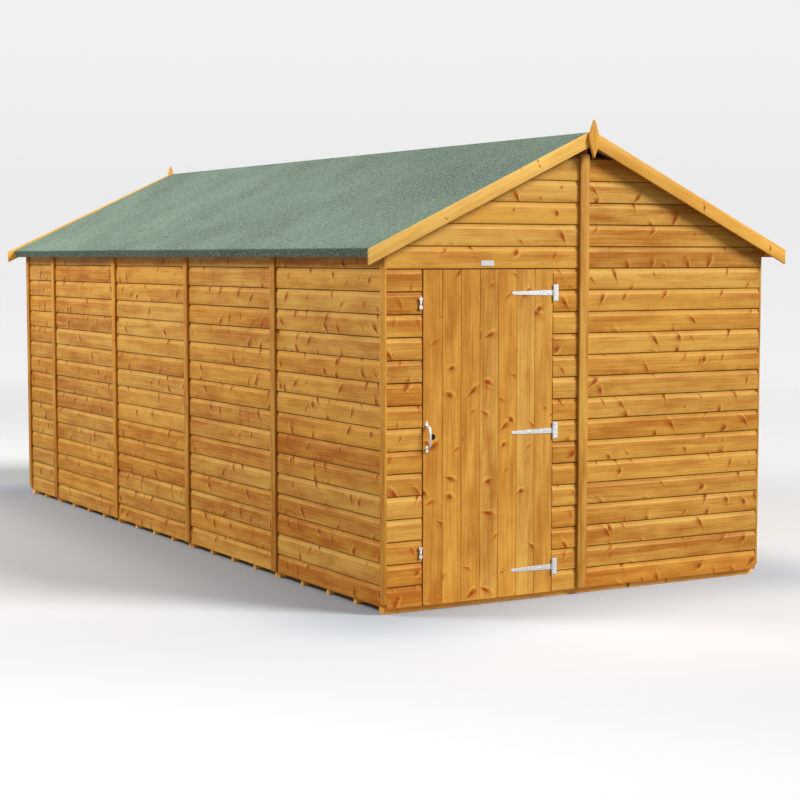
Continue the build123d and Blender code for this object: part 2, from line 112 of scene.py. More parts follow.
# ---- Shader nodes ----
class Graph:
    """Short calls for laying out the nodes of one material or world."""

    def __init__(self, tree: bpy.types.NodeTree) -> None:
        """Starts from an empty tree."""
        self.tree = tree
        tree.nodes.clear()

    def put(self, kind: str, inputs: dict[str | int, Value], **settings: object) -> bpy.types.Node:
        """Adds a node and feeds it.

        Args:
            kind: the node's type name, less its usual start.
            inputs: what each input, by name or number, is linked or set to.
            settings: the node's own options.

        Returns:
            The new node.
        """
        made = self.tree.nodes.new("ShaderNode" + kind)
        for name, value in settings.items():
            setattr(made, name, value)
        for name, value in inputs.items():
            socket = made.inputs[name]
            if isinstance(value, Socket):
                self.tree.links.new(value, socket)
            elif isinstance(value, tuple) and socket.type == "RGBA":
                socket.default_value = (*value, 1.0)
            else:
                socket.default_value = value
        return made

    def calc(self, operation: str, *values: Value, clamp: bool = False) -> Socket:
        """The result of a Math node."""
        return self.put("Math", dict(enumerate(values)), operation=operation, use_clamp=clamp).outputs[0]

    def plus(self, *values: Value) -> Socket:
        """The sum of some values."""
        return functools.reduce(functools.partial(self.calc, "ADD"), values)

    def times(self, *values: Value) -> Socket:
        """The product of some values."""
        return functools.reduce(functools.partial(self.calc, "MULTIPLY"), values)

    def line(self, value: Value, slope: Value, start: Value) -> Socket:
        """The value times a slope, plus a start."""
        return self.calc("MULTIPLY_ADD", value, slope, start)

    def vector(self, operation: str, *values: Value) -> Socket:
        """The result of a Vector Math node, a number for LENGTH and DOT_PRODUCT."""
        made = self.put("VectorMath", dict(enumerate(values)), operation=operation)
        return made.outputs["Value" if operation in ("LENGTH", "DOT_PRODUCT") else "Vector"]

    def split(self, vector: Socket) -> list[Socket]:
        """The three parts of a vector."""
        return list(self.put("SeparateXYZ", {0: vector}).outputs)

    def join(self, *parts: Value) -> Socket:
        """A vector from its three parts."""
        return self.put("CombineXYZ", dict(enumerate(parts))).outputs[0]

    def length(self, x: Value, y: Value) -> Socket:
        """The length of a flat vector."""
        return self.vector("LENGTH", self.join(x, y, 0.0))

    def place(self) -> Socket:
        """The place on the piece."""
        return self.put("TexCoord", {}).outputs["Object"]

    def attribute(self, name: str) -> Socket:
        """A mesh attribute read as a vector."""
        return self.put("Attribute", {}, attribute_name=name).outputs["Vector"]

    def noise(self, vector: Value, scale: float, detail: float = 2.0, rough: float = 0.5) -> Socket:
        """Noise between 0 and 1."""
        fed = {"Vector": vector, "Scale": scale, "Detail": detail, "Roughness": rough}
        return self.put("TexNoise", fed).outputs["Fac"]

    def cells(self, vector: Value, scale: float, jitter: float = 1.0, **settings: object) -> bpy.types.Node:
        """Scattered cells, each with a colour of its own."""
        fed = {"Vector": vector, "Scale": scale, "Randomness": jitter}
        return self.put("TexVoronoi", fed, feature="F1", **settings)

    def span(self, value: Value, low: float, high: float, at_low: float = 0.0,
             at_high: float = 1.0) -> Socket:
        """Smoothly maps low..high to at_low..at_high, and holds the ends."""
        fed = dict(enumerate((value, low, high, at_low, at_high)))
        return self.put("MapRange", fed, interpolation_type="SMOOTHSTEP").outputs[0]

    def swing(self, value: Value, edge: float, depth: float) -> Socket:
        """Spreads a noise evenly about nought, over a depth that it reaches at its edges."""
        return self.span(value, edge, 1 - edge, -depth / 2, depth / 2)

    def mix(self, share: Value, first: Value, second: Value, how: str = "MIX") -> Socket:
        """Blends two colours."""
        fed = {0: share, 6: first, 7: second}
        return self.put("Mix", fed, data_type="RGBA", blend_type=how, clamp_factor=True).outputs[2]

    def blend(self, share: Value, first: Socket, second: Socket) -> Socket:
        """Blends two shaders."""
        return self.put("MixShader", {0: share, 1: first, 2: second}).outputs[0]

    def bump(self, height: Value, distance: float, strength: float) -> Socket:
        """A normal bent by a height."""
        fed = {"Strength": strength, "Distance": distance, "Height": height}
        return self.put("Bump", fed).outputs["Normal"]

    def end(self, shader: Socket, kind: str = "Material") -> None:
        """Ends the tree in a shader."""
        self.put("Output" + kind, {"Surface": shader})

    def surface(self, **inputs: Value) -> None:
        """Ends a material in a Principled shader whose inputs are given by name, _ for a space."""
        fed = {name.replace("_", " "): value for name, value in inputs.items()}
        self.end(self.put("BsdfPrincipled", fed).outputs[0])


# ---- Finishes ----
@dataclass(frozen=True)
class Finish:
    """A finish, with the record's slot that it belongs to."""

    name: str
    slot: Slot

    @functools.cache
    def material(self) -> bpy.types.Material:
        """Makes the finish's material, once.

        Returns:
            The material.
        """
        material = bpy.data.materials.new(self.name)
        material.use_nodes = True
        self.lay(Graph(material.node_tree))
        return material

    def lay(self, graph: Graph) -> None:
        """Lays out the material's nodes."""
        raise NotImplementedError


@dataclass(frozen=True)
class TimberFinish(Finish):
    """Knotty softwood. Each board reads its own stretch of grain and its own tone."""

    pale: Colour = (0.735, 0.385, 0.065)
    deep: Colour = (0.440, 0.137, 0.010)
    stain: Colour = (0.560, 0.125, 0.006)
    heart: Colour = (0.200, 0.040, 0.003)
    joint_shadow_colour: Colour = (0.090, 0.026, 0.004)      # painted shadow in the joint between two boards, under the lip
    balance: float = 0.46           # where an average board lies between pale and deep
    board_spread: float = 0.42      # how far boards differ
    knot_share: float = 0.17        # share of places that hold a round knot
    spike_share: float = 0.38       # share that hold one cut lengthwise
    knot_run: float = 0.130         # spacing of those places along the grain
    knot_rise: float = 0.105        # and across it
    knot_size: float = 0.0135
    knot_scatter: float = 0.85
    spike_shift: float = 41.3       # sets the spikes apart from the round knots
    ring_width: float = 0.0050
    ring_depth: float = 0.16
    streak_depth: float = 0.36      # how far each kind of mark moves the tone
    band_depth: float = 0.40
    broad_depth: float = 0.38
    patch_depth: float = 0.28
    sheen: float = 0.14
    roughness: float = 0.55
    relief: float = 0.0004

    def knots(self, graph: Graph, run: Value, rise: Value, serial: Value, spiked: bool) -> tuple[Socket, ...]:
        """Knots cut through round, or lengthwise as tapered spikes that slant across the grain.

        Args:
            graph: the material's nodes.
            run: distance along the grain.
            rise: distance across it.
            serial: the board's own number.
            spiked: whether they are spikes.

        Returns:
            How far a point lies in a knot, in its rim, in the stain round it, in its dark heart, and
            in the pale grain that sweeps past it.
        """
        shift, share = (self.spike_shift, self.spike_share) if spiked else (0.0, self.knot_share)
        places = graph.join(graph.plus(graph.calc("DIVIDE", run, self.knot_run), shift),
                            graph.plus(graph.calc("DIVIDE", rise, self.knot_rise), serial), 0.0)
        cells = graph.cells(places, 1.0, self.knot_scatter, voronoi_dimensions="2D")
        away = graph.vector("MULTIPLY", graph.vector("SUBTRACT", places, cells.outputs["Position"]),
                            (self.knot_run, self.knot_rise, 0.0))
        chance, slant, other = graph.split(cells.outputs["Color"])
        side = graph.calc("SUBTRACT", slant, 0.5)
        lean = graph.times(graph.calc("SIGN", side), graph.line(graph.calc("ABSOLUTE", side), 1.3, 0.25))
        turned_away = graph.put("VectorRotate", {"Vector": away, "Angle": lean}, rotation_type="Z_AXIS")
        across, length, _ = graph.split(turned_away.outputs[0])
        wobble = graph.noise(graph.vector("ADD", away, graph.join(serial, chance, 0.0)), 130.0, 4.0, 0.65)
        size = graph.times(graph.span(other, 0.0, 1.0, 0.55, 1.30), self.knot_size)
        along = graph.calc("DIVIDE", length, graph.times(size, 2.1 if spiked else 1.1))
        taper = graph.span(along, -1.0, 1.0, 0.28, 0.98) if spiked else 0.8
        cross = graph.calc("DIVIDE", across, graph.times(size, taper))
        reach = graph.plus(graph.length(along, cross), graph.line(wobble, 1.5, -0.75))
        present = graph.calc("LESS_THAN", chance, share)
        core = graph.times(graph.span(reach, 0.62, 1.20, 1.0, 0.0), present)
        rim = graph.times(core, graph.span(reach, 0.50, 0.90))
        halo = graph.times(graph.span(reach, 0.8, 3.0, 1.0, 0.0), present)
        dark = graph.times(graph.span(reach, 0.30, 0.85, 1.0, 0.0), present, graph.span(other, 0.25, 0.65))
        gleam = graph.times(graph.span(reach, 1.0, 1.35), graph.span(reach, 1.4, 2.6, 1.0, 0.0), present,
                            graph.span(cross, -0.2, 1.2))
        return core, rim, halo, dark, gleam

    def lay(self, graph: Graph) -> None:
        """Rings about a pith, bands and streaks along the grain, knots, and a tone for each board, which also
        carries the light and shade painted along each board's section.

        Args:
            graph: the material's nodes.
        """
        run, rise, depth = graph.split(graph.attribute("grain"))
        tone, warmth, serial = graph.split(graph.attribute("board"))
        both = (self.knots(graph, run, rise, serial, spiked) for spiked in (False, True))
        core, rim, halo, dark, gleam = (graph.calc("MAXIMUM", *pair) for pair in zip(*both))

        def along(slow: float, quick: float) -> Socket:
            """A place stretched along the grain."""
            return graph.join(graph.times(run, slow), graph.times(rise, quick),
                              graph.line(depth, quick, serial))

        wander = graph.line(graph.noise(along(1.3, 7.0), 1.0, 3.0), 0.040, -0.020)
        radius = graph.plus(graph.length(rise, depth), wander, graph.times(halo, 0.016))
        wave = graph.calc("SINE", graph.times(radius, math.tau / self.ring_width))
        late = graph.calc("POWER", graph.line(wave, 0.5, 0.5), 2.0)
        streak = graph.noise(along(2.4, 75.0), 1.0, 4.0, 0.65)
        band = graph.noise(along(2.6, 19.0), 1.0, 3.0, 0.55)
        broad = graph.noise(along(0.9, 8.0), 1.0, 2.0)
        patch = graph.noise(graph.join(graph.times(run, 6.0), graph.times(rise, 11.0), serial), 1.0, 3.0)
        share = graph.plus(graph.line(tone, self.board_spread, self.balance - self.board_spread / 2),
                           graph.line(late, self.ring_depth, -self.ring_depth / 2),
                           graph.swing(streak, 0.30, self.streak_depth),
                           graph.swing(band, 0.28, self.band_depth),
                           graph.swing(broad, 0.30, self.broad_depth),
                           graph.swing(patch, 0.30, self.patch_depth),
                           graph.times(halo, 0.30), graph.times(gleam, -0.60))
        colour = graph.mix(graph.calc("ADD", share, 0.0, clamp=True), self.pale, self.deep)
        green, blue = (graph.span(warmth, 0.0, 1.0, *ends) for ends in ((0.93, 1.06), (0.80, 1.25)))
        colour = graph.mix(1.0, colour, graph.join(1.0, green, blue), "MULTIPLY")
        # Stain, rim and heart of the knots are the wood's own; the last mix paints the shadow in the joints,
        # where the tone runs past 1.5.
        for cover, over in ((graph.times(core, 0.84), self.stain), (graph.times(rim, 0.30), self.heart),
                            (graph.times(dark, 0.80), self.heart),
                            (graph.span(tone, 1.5, 2.3, 0.0, 0.88), self.joint_shadow_colour)):
            colour = graph.mix(cover, colour, over)
        relief = graph.plus(graph.times(late, 0.5), graph.times(streak, 0.8), graph.times(core, 0.9))
        graph.surface(Base_Color=colour, Specular_IOR_Level=self.sheen,
                      Roughness=graph.span(streak, 0.2, 0.8, self.roughness - 0.07, self.roughness + 0.10),
                      Normal=graph.bump(relief, self.relief, 0.35))


@dataclass(frozen=True)
class FeltFinish(Finish):
    """Green mineral felt: small slates of several greens pressed into a bituminous sheet."""

    pale: Colour = (0.270, 0.368, 0.276)
    deep: Colour = (0.046, 0.078, 0.050)
    # painted shade for faces that look sideways or down, such as the fold
    fold_shade_colour: Colour = (0.020, 0.026, 0.022)
    granule: float = 300.0          # granules to a metre

    def lay(self, graph: Graph) -> None:
        """Granules of mixed tone over slow, soft patches. Faces that look sideways or down, such as the fold,
        get a patchy painted shade.

        Args:
            graph: the material's nodes.
        """
        place = graph.place()
        chance, other, _ = graph.split(graph.cells(place, self.granule).outputs["Color"])
        speck = graph.noise(place, 95.0, 2.0, 0.7)
        mottle = graph.noise(place, 1.1, 4.0, 0.62)
        tone = graph.plus(graph.line(chance, 0.46, -0.15), graph.times(graph.span(speck, 0.34, 0.66), 0.72))
        tone = graph.calc("ADD", tone, graph.swing(mottle, 0.30, 0.28), clamp=True)
        upward = graph.split(graph.put("NewGeometry", {}).outputs["Normal"])[2]
        # The painted shade: strongest where the face looks sideways or down, broken into patches by the
        # granules.
        worn = graph.span(graph.plus(speck, graph.times(other, 0.3)), 0.35, 0.85, 0.92, 0.35)
        fold_shade_mask = graph.times(graph.span(upward, 0.10, 0.45, 1.0, 0.0), worn)
        graph.surface(Base_Color=graph.mix(fold_shade_mask, graph.mix(tone, self.deep, self.pale), self.fold_shade_colour),
                      Roughness=graph.span(chance, 0.0, 1.0, 0.82, 0.96),
                      Normal=graph.bump(graph.plus(graph.times(chance, 0.6), speck), 0.0006, 0.35))


@dataclass(frozen=True)
class ZincFinish(Finish):
    """Galvanised steel with its spangle."""

    pale: Colour = (0.92, 0.92, 0.91)
    deep: Colour = (0.66, 0.67, 0.68)
    metal: float = 0.55
    roughness: float = 0.38
    flake: float = 190.0            # flakes to a metre

    def lay(self, graph: Graph) -> None:
        """Spangle flakes that differ in tone and in sheen.

        Args:
            graph: the material's nodes.
        """
        place = graph.place()
        chance, other, _ = graph.split(graph.cells(place, self.flake).outputs["Color"])
        dull = graph.noise(place, 60.0, 3.0)
        tone = graph.line(chance, 0.6, graph.times(dull, 0.4))
        graph.surface(Base_Color=graph.mix(tone, self.pale, self.deep), Metallic=self.metal,
                      Roughness=graph.span(other, 0.0, 1.0, self.roughness - 0.08, self.roughness + 0.12),
                      Normal=graph.bump(dull, 0.0004, 0.25))


@dataclass(frozen=True)
class LacquerFinish(Finish):
    """Plain paint or lacquer over steel, with a faint orange peel."""

    colour: Colour
    worn: Colour
    roughness: float = 0.38

    def lay(self, graph: Graph) -> None:
        """Even colour, a little dull in patches.

        Args:
            graph: the material's nodes.
        """
        place = graph.place()
        patches = graph.noise(place, 45.0, 4.0, 0.6)
        graph.surface(Base_Color=graph.mix(graph.span(patches, 0.35, 0.8), self.colour, self.worn),
                      Roughness=graph.span(patches, 0.2, 0.8, self.roughness - 0.06, self.roughness + 0.14),
                      Normal=graph.bump(graph.noise(place, 900.0, 2.0), 0.0002, 0.3))


CLADDING = TimberFinish("Golden shiplap", Slot.CLADDING)
DOOR_BOARDS = TimberFinish("Golden door boards", Slot.DOOR, pale=(0.770, 0.400, 0.070),
                           deep=(0.470, 0.170, 0.019), board_spread=0.30, band_depth=0.44,
                           knot_share=0.14, spike_share=0.26, balance=0.50)
WALL_TRIM = TimberFinish("Golden cover strips", Slot.WALL_TRIM, balance=0.54, streak_depth=0.60,
                         board_spread=0.20, knot_share=0.10, spike_share=0.12, knot_size=0.0080)
ROOF_TRIM = TimberFinish("Yellow bargeboards", Slot.ROOF_TRIM, pale=(0.920, 0.530, 0.110),
                         deep=(0.690, 0.310, 0.040), stain=(0.52, 0.165, 0.016), heart=(0.22, 0.06, 0.008),
                         knot_share=0.09, spike_share=0.18, knot_size=0.0085, board_spread=0.14,
                         band_depth=0.42, balance=0.34)
FRAMING = TimberFinish("Sawn framing", Slot.FRAMING, pale=(0.600, 0.370, 0.150), deep=(0.400, 0.205, 0.065),
                       stain=(0.30, 0.115, 0.030), knot_size=0.009, roughness=0.70, relief=0.0007)
# Dipped joists, painted paler so that the plinth, which stands in the shade under the boards, reads as lit:
# painted light.
JOISTS = TimberFinish("Dipped joists with painted light", Slot.FRAMING, pale=(0.920, 0.520, 0.130), deep=(0.700, 0.310, 0.058),
                      stain=(0.40, 0.110, 0.014), knot_size=0.009, roughness=0.70, relief=0.0007)
SHEETING = TimberFinish("Planed sheeting", Slot.SHEETING, pale=(0.660, 0.430, 0.185),
                        deep=(0.440, 0.240, 0.080), stain=(0.33, 0.125, 0.030), knot_share=0.22)
FELT = FeltFinish("Green mineral felt", Slot.FELT)
ZINC = ZincFinish("Galvanised steel", Slot.ZINC)
NAIL_ZINC = ZincFinish("Dulled nails", Slot.ZINC, pale=(0.16, 0.07, 0.03), deep=(0.08, 0.034, 0.015),
                       metal=0.2, roughness=0.6)
LACQUER = LacquerFinish("Black lacquer", Slot.LACQUER, colour=(0.012, 0.012, 0.013),
                        worn=(0.035, 0.034, 0.033))
PLATE = LacquerFinish("Pale plate", Slot.PLATE, colour=(0.74, 0.75, 0.75), worn=(0.58, 0.60, 0.61),
                      roughness=0.34)


# ---- Shapes ----
@dataclass
class Solid:
    """One closed shape: its corners and faces."""

    corners: list[Vector]
    faces: list[Face]

    @property
    def low(self) -> Vector:
        """Lowest corner of its box."""
        return Vector(tuple(min(c[k] for c in self.corners) for k in range(3)))

    @property
    def high(self) -> Vector:
        """Highest corner of its box."""
        return Vector(tuple(max(c[k] for c in self.corners) for k in range(3)))

    @property
    def middle(self) -> Vector:
        """Middle of its box."""
        return (self.low + self.high) / 2


def loft(sections: Sequence[Sequence[Vector]]) -> Solid:
    """Joins like outlines into one closed shape, with an end on each.

    Args:
        sections: outlines with the same number of points.

    Returns:
        The closed shape.
    """
    count = len(sections[0])
    corners = [point for section in sections for point in section]
    last = len(corners) - count
    faces = [(start + k, start + (k + 1) % count, start + count + (k + 1) % count, start + count + k)
             for start in range(0, last, count) for k in range(count)]
    return Solid(corners, [*faces, tuple(range(count - 1, -1, -1)), tuple(range(last, len(corners)))])


def grain_axes(corners: Sequence[Vector]) -> tuple[Vector, Vector]:
    """The longest and the next longest direction of a timber.

    Args:
        corners: the timber's corners.

    Returns:
        Unit vectors along and across the grain.
    """
    points = np.array([tuple(c) for c in corners])
    _, _, axes = np.linalg.svd(points - points.mean(0), full_matrices=False)
    return Vector(axes[0]), Vector(axes[1])


@functools.cache
def solids_of(node: str) -> list[Solid]:
    """The closed shapes of a CAD node, with flat faces whole.

    Args:
        node: the node's name.

    Returns:
        Its solids, in order along X, Y and Z.
    """
    mesh = bmesh.new()
    mesh.from_mesh(bpy.data.objects[node].data)
    bmesh.ops.remove_doubles(mesh, verts=mesh.verts, dist=1e-5)
    bmesh.ops.dissolve_limit(mesh, angle_limit=math.radians(0.5), verts=mesh.verts, edges=mesh.edges)
    left = set(mesh.verts)
    found: list[Solid] = []
    while left:
        group = {left.pop()}
        edge = list(group)
        while edge:
            near = {e.other_vert(v) for v in edge for e in v.link_edges} - group
            group |= near
            edge = list(near)
        left -= group
        order = {v: k for k, v in enumerate(sorted(group, key=lambda v: v.index))}
        faces = sorted({f for v in group for f in v.link_faces}, key=lambda f: f.index)
        found.append(Solid([v.co.copy() for v in order], [tuple(order[v] for v in f.verts) for f in faces]))
    mesh.free()
    return sorted(found, key=lambda s: tuple(round(x, 4) for x in s.middle))


def eased(solid: Solid, ease: float, steps: int = 2) -> Solid:
    """The solid with its sharp edges planed round.

    Args:
        solid: what to round.
        ease: how far from the edge the rounding starts.
        steps: faces round each edge.

    Returns:
        The rounded solid.
    """
    mesh = bmesh.new()
    verts = [mesh.verts.new(c) for c in solid.corners]
    for face in solid.faces:
        mesh.faces.new([verts[k] for k in face])
    bmesh.ops.recalc_face_normals(mesh, faces=mesh.faces)
    sharp = [e for e in mesh.edges if e.calc_face_angle(0) > math.radians(35)]
    bmesh.ops.bevel(mesh, geom=sharp, offset=ease, segments=steps, profile=0.5, affect="EDGES",
                    clamp_overlap=True)
    mesh.verts.index_update()
    made = Solid([v.co.copy() for v in mesh.verts], [tuple(v.index for v in f.verts) for f in mesh.faces])
    mesh.free()
    return made


def placed(name: str, data: bpy.types.ID | None) -> bpy.types.Object:
    """Puts something into the scene.

    Args:
        name: its name.
        data: its mesh, camera or lamp.

    Returns:
        The object.
    """
    made = bpy.data.objects.new(name, data)
    bpy.context.scene.collection.objects.link(made)
    return made


def mesh_of(name: str, solid: Solid) -> bpy.types.Mesh:
    """Makes a mesh whose faces all look outwards.

    Args:
        name: the mesh's name.
        solid: its shape.

    Returns:
        The mesh.
    """
    mesh = bpy.data.meshes.new(name)
    mesh.from_pydata([tuple(c) for c in solid.corners], [], solid.faces)
    tidy = bmesh.new()
    tidy.from_mesh(mesh)
    bmesh.ops.recalc_face_normals(tidy, faces=tidy.faces)
    tidy.to_mesh(mesh)
    tidy.free()
    return mesh


class Stock:
    """Gathers shapes into one mesh. Timbers keep their own grain and tone."""

    def __init__(self, name: str, seed: int = 1, deeper: float = 0.0) -> None:
        """Starts an empty mesh.

        Args:
            name: the piece's name.
            seed: seed of its grain.
            deeper: how much deeper than usual its boards' tone is.
        """
        self.name = name
        self.deeper = deeper
        self.chance = random.Random(seed)
        self.shape = Solid([], [])
        self.grain: list[tuple[float, float, float]] = []
        self.board: list[tuple[float, float, float]] = []

    def add(self, solid: Solid, along: Vector, across: Vector, shade: Sequence[float] = (0.0,)) -> None:
        """Adds a timber.

        Args:
            solid: its shape.
            along: direction of its grain.
            across: direction across the grain, in the plane of its face.
            shade: the light and shade painted at each corner, deeper for painted shade and paler for painted
                light, over and over to the last one.
        """
        axes = (along, across, along.cross(across))
        middle = solid.middle
        shift = (self.chance.uniform(0, 60), self.chance.uniform(-0.05, 0.05),
                 self.chance.choice((-1, 1)) * self.chance.uniform(0.025, 0.10))
        tone, warmth = self.chance.random() + self.deeper, self.chance.random()
        serial = self.chance.uniform(0, 90)
        start = len(self.shape.corners)
        for k, corner in enumerate(solid.corners):
            self.grain.append(tuple((corner - middle).dot(axis) + step for axis, step in zip(axes, shift)))
            # The tone carries each corner's painted light and shade.
            self.board.append((tone + shade[k % len(shade)], warmth, serial))
        self.shape.corners += solid.corners
        self.shape.faces += [tuple(start + k for k in face) for face in solid.faces]

    def fit(self, solid: Solid) -> None:
        """Adds a fitting or an upright board."""
        self.add(solid, UP, RIGHT)

    def drive(self, head: "Head", seat: "Seat", spots: Iterable[tuple[float, float]], proud: float) -> None:
        """Adds a head at each spot, measured right and up from a seat."""
        for right, up in spots:
            self.fit(head.on(seat.moved(right, up, proud)))

    def make(self, finish: Finish, stands_for: Iterable[str] = (), body: Body = Body.SHED,
             smooth: float = 32.0) -> None:
        """Makes the piece and puts it on its body.

        Args:
            finish: the piece's finish.
            stands_for: the CAD nodes that it replaces.
            body: the body that it rides on.
            smooth: faces that meet at less than this angle, in degrees, are shaded as one.
        """
        mesh = mesh_of(self.name, self.shape)
        for label, values in (("grain", self.grain), ("board", self.board)):
            attribute = mesh.attributes.new(label, "FLOAT_VECTOR", "POINT")
            attribute.data.foreach_set("vector", np.array(values, np.float32).ravel())
        mesh.shade_smooth()
        mesh.set_sharp_from_angle(angle=math.radians(smooth))
        mesh.materials.append(finish.material())
        piece = placed(self.name, mesh)
        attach(piece, body.value)
        if stands_for:
            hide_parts(*stands_for)
        log.info("%s: %d faces", self.name, len(mesh.polygons))


def members(nodes: Iterable[str], finish: TimberFinish, ease: float, seed: int, body: Body = Body.SHED,
            cut: str = "planed_") -> None:
    """Makes the timbers of some nodes again with planed edges, each timber with its own grain.

    Args:
        nodes: the CAD nodes that they stand for, one piece for each.
        finish: their finish.
        ease: how far the edges are planed off.
        seed: seed of the first node's grain. The others count on from it.
        body: the body that they ride on.
        cut: how they are cut, for the pieces' names.
    """
    for count, node in enumerate(nodes):
        stock = Stock(cut + node, seed + count)
        for solid in solids_of(node):
            stock.add(eased(solid, ease), *grain_axes(solid.corners))
        stock.make(finish, [node], body)


@dataclass(frozen=True)
class Seat:
    """A place on a face: its middle, the way across it and the way out of it."""

    middle: Vector
    across: Vector
    out: Vector

    def at(self, right: float, up: float, proud: float) -> Vector:
        """A point measured from the seat."""
        return self.middle + self.across * right + self.out.cross(self.across) * up + self.out * proud

    def moved(self, right: float, up: float, proud: float) -> "Seat":
        """The seat at a point measured from it."""
        return Seat(self.at(right, up, proud), self.across, self.out)

    def rings(self, profile: Outline, count: int) -> list[list[Vector]]:
        """Rings about the way out.

        Args:
            profile: each ring's radius and height.
            count: points round each.

        Returns:
            The points of each ring.
        """
        turns = [math.tau * k / count for k in range(count)]
        return [[self.at(radius * math.cos(turn), radius * math.sin(turn), rise) for turn in turns]
                for radius, rise in profile]


def turned(seat: Seat, profile: Outline, count: int = 16) -> Solid:
    """A round piece on a seat, from the radius and height of each of its rings."""
    return loft(seat.rings(profile, count))


def tube(seat: Seat, profile: Outline, count: int) -> Solid:
    """A hollow round piece.

    Args:
        seat: the middle of its bore.
        profile: radius and height of each ring, right round its wall.
        count: points round it.

    Returns:
        The tube.
    """
    faces = [(a * count + k, a * count + (k + 1) % count, b * count + (k + 1) % count, b * count + k)
             for a, b in ((n, (n + 1) % len(profile)) for n in range(len(profile))) for k in range(count)]
    return Solid([point for ring in seat.rings(profile, count) for point in ring], faces)


def plate(seat: Seat, outline: Outline, back: float, front: float, ease: float) -> Solid:
    """A flat plate of any outline with eased edges."""
    return eased(loft([[seat.at(x, y, proud) for x, y in outline] for proud in (back, front)]), ease, 1)


def rounded_box(width: float, height: float, radius: float, steps: int = 4) -> Outline:
    """Outline of a rectangle with round corners, about its middle.

    Args:
        width: its width.
        height: its height.
        radius: radius of its corners.
        steps: points round each corner, less one.

    Returns:
        The outline.
    """
    points: Outline = []
    for quarter, (sx, sy) in enumerate(((1, 1), (-1, 1), (-1, -1), (1, -1))):
        for k in range(steps + 1):
            angle = math.pi / 2 * (quarter + k / steps)
            points.append((sx * (width / 2 - radius) + radius * math.cos(angle),
                           sy * (height / 2 - radius) + radius * math.sin(angle)))
    return points


@dataclass(frozen=True)
class Head:
    """The round head of a nail or a screw, or a boss."""

    radius: float
    crown: float                    # radius of its flat top
    sunk: float                     # how deep its rim starts
    rim: float                      # how far its rim stands out
    proud: float                    # and its top
    sides: int = 16

    def on(self, seat: Seat) -> Solid:
        """The head on a seat."""
        profile = [(self.radius, -self.sunk), (self.radius, self.rim), (self.crown, self.proud)]
        return turned(seat, profile, self.sides)


WALL_NAIL = Head(0.0024, 0.00168, 0.0004, 0.00018, 0.0003, 8)
FLOOR_NAIL = Head(0.0026, 0.00182, 0.0004, 0.0, 0.0, 8)
DOOR_NAIL = Head(0.0026, 0.00182, 0.0004, 0.00024, 0.0004, 8)
LOCK_SCREW = Head(0.0042, 0.0026, 0.0010, 0.0006, 0.0016, 14)
KEEP_SCREW = Head(0.0038, 0.0022, 0.0005, 0.0004, 0.0011, 14)
HANDLE_SCREW = Head(0.0036, 0.0022, 0.0004, 0.0004, 0.0011, 14)
STRAP_SCREW = Head(0.0046, 0.0026, 0.0003, 0.0004, 0.0013)
LEAF_SCREW = Head(0.0044, 0.0025, 0.0003, 0.0004, 0.0013)
PLATE_PIN = Head(0.0018, 0.0010, 0.0003, 0.0002, 0.0006, 12)
KEY_BOSS = Head(0.0095, 0.0085, 0.0010, 0.0012, 0.0018, 24)
KEY_WAY = Head(0.0085, 0.0078, 0.0010, 0.0042, 0.0048, 24)


# ---- Walls ----
@dataclass(frozen=True)
class WallFace:
    """A wall's outer plane, with a direction along it and one out of it."""

    origin: Vector
    along: Vector
    out: Vector

    def at(self, place: float, height: float, proud: float) -> Vector:
        """The point at a place along the wall, a height, and a distance in front of it."""
        return self.origin + self.along * place + UP * height + self.out * proud

    def seat(self, place: float, height: float) -> Seat:
        """A seat for a fitting at that point, upright."""
        return Seat(self.at(place, height, 0.0), UP.cross(self.out), self.out)


@dataclass
class Layout:
    """Places on the frame that several sub-assemblies share, read from its solids."""

    half_width: float = field(init=False)
    half_length: float = field(init=False)
    ridge_under: float = field(init=False)
    ridge_top: float = field(init=False)
    slope: float = field(init=False)
    panels: list[tuple[float, float]] = field(init=False)

    def __post_init__(self) -> None:
        """Reads the frame."""
        walls = solids_of("left_wall_boards")
        self.half_width = -min(s.low.x for s in walls)
        self.half_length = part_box("rear_wall_boards")[1].y
        self.panels = sorted((s.low.y, s.high.y) for s in walls)
        corners = solids_of("roof_boards_right")[0].corners
        foot = min(corners, key=lambda c: c.z)
        self.ridge_under = min(c.z for c in corners if abs(c.x) < TOUCH)
        self.ridge_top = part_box("roof_felt_right")[1].z
        self.slope = (self.ridge_under - foot.z) / foot.x

    def reach(self, height: float) -> float:
        """Half the width of a gable at a height, under the roof boards."""
        return (self.ridge_under - height) / self.slope

    def under(self, x: float) -> float:
        """Height of the roof boards' underside at a distance from the ridge."""
        return self.ridge_under - self.slope * x

    def gable(self, rear: bool = False) -> WallFace:
        """The face of a gable, with places along it equal to X."""
        side = 1 if rear else -1
        return WallFace(Vector((0, side * self.half_length, 0)), RIGHT, Vector((0, side, 0)))

    def side(self, right: bool) -> WallFace:
        """The face of a side wall, with places along it equal to Y."""
        side = 1 if right else -1
        return WallFace(Vector((side * self.half_width, 0, 0)), BACK, Vector((side, 0, 0)))


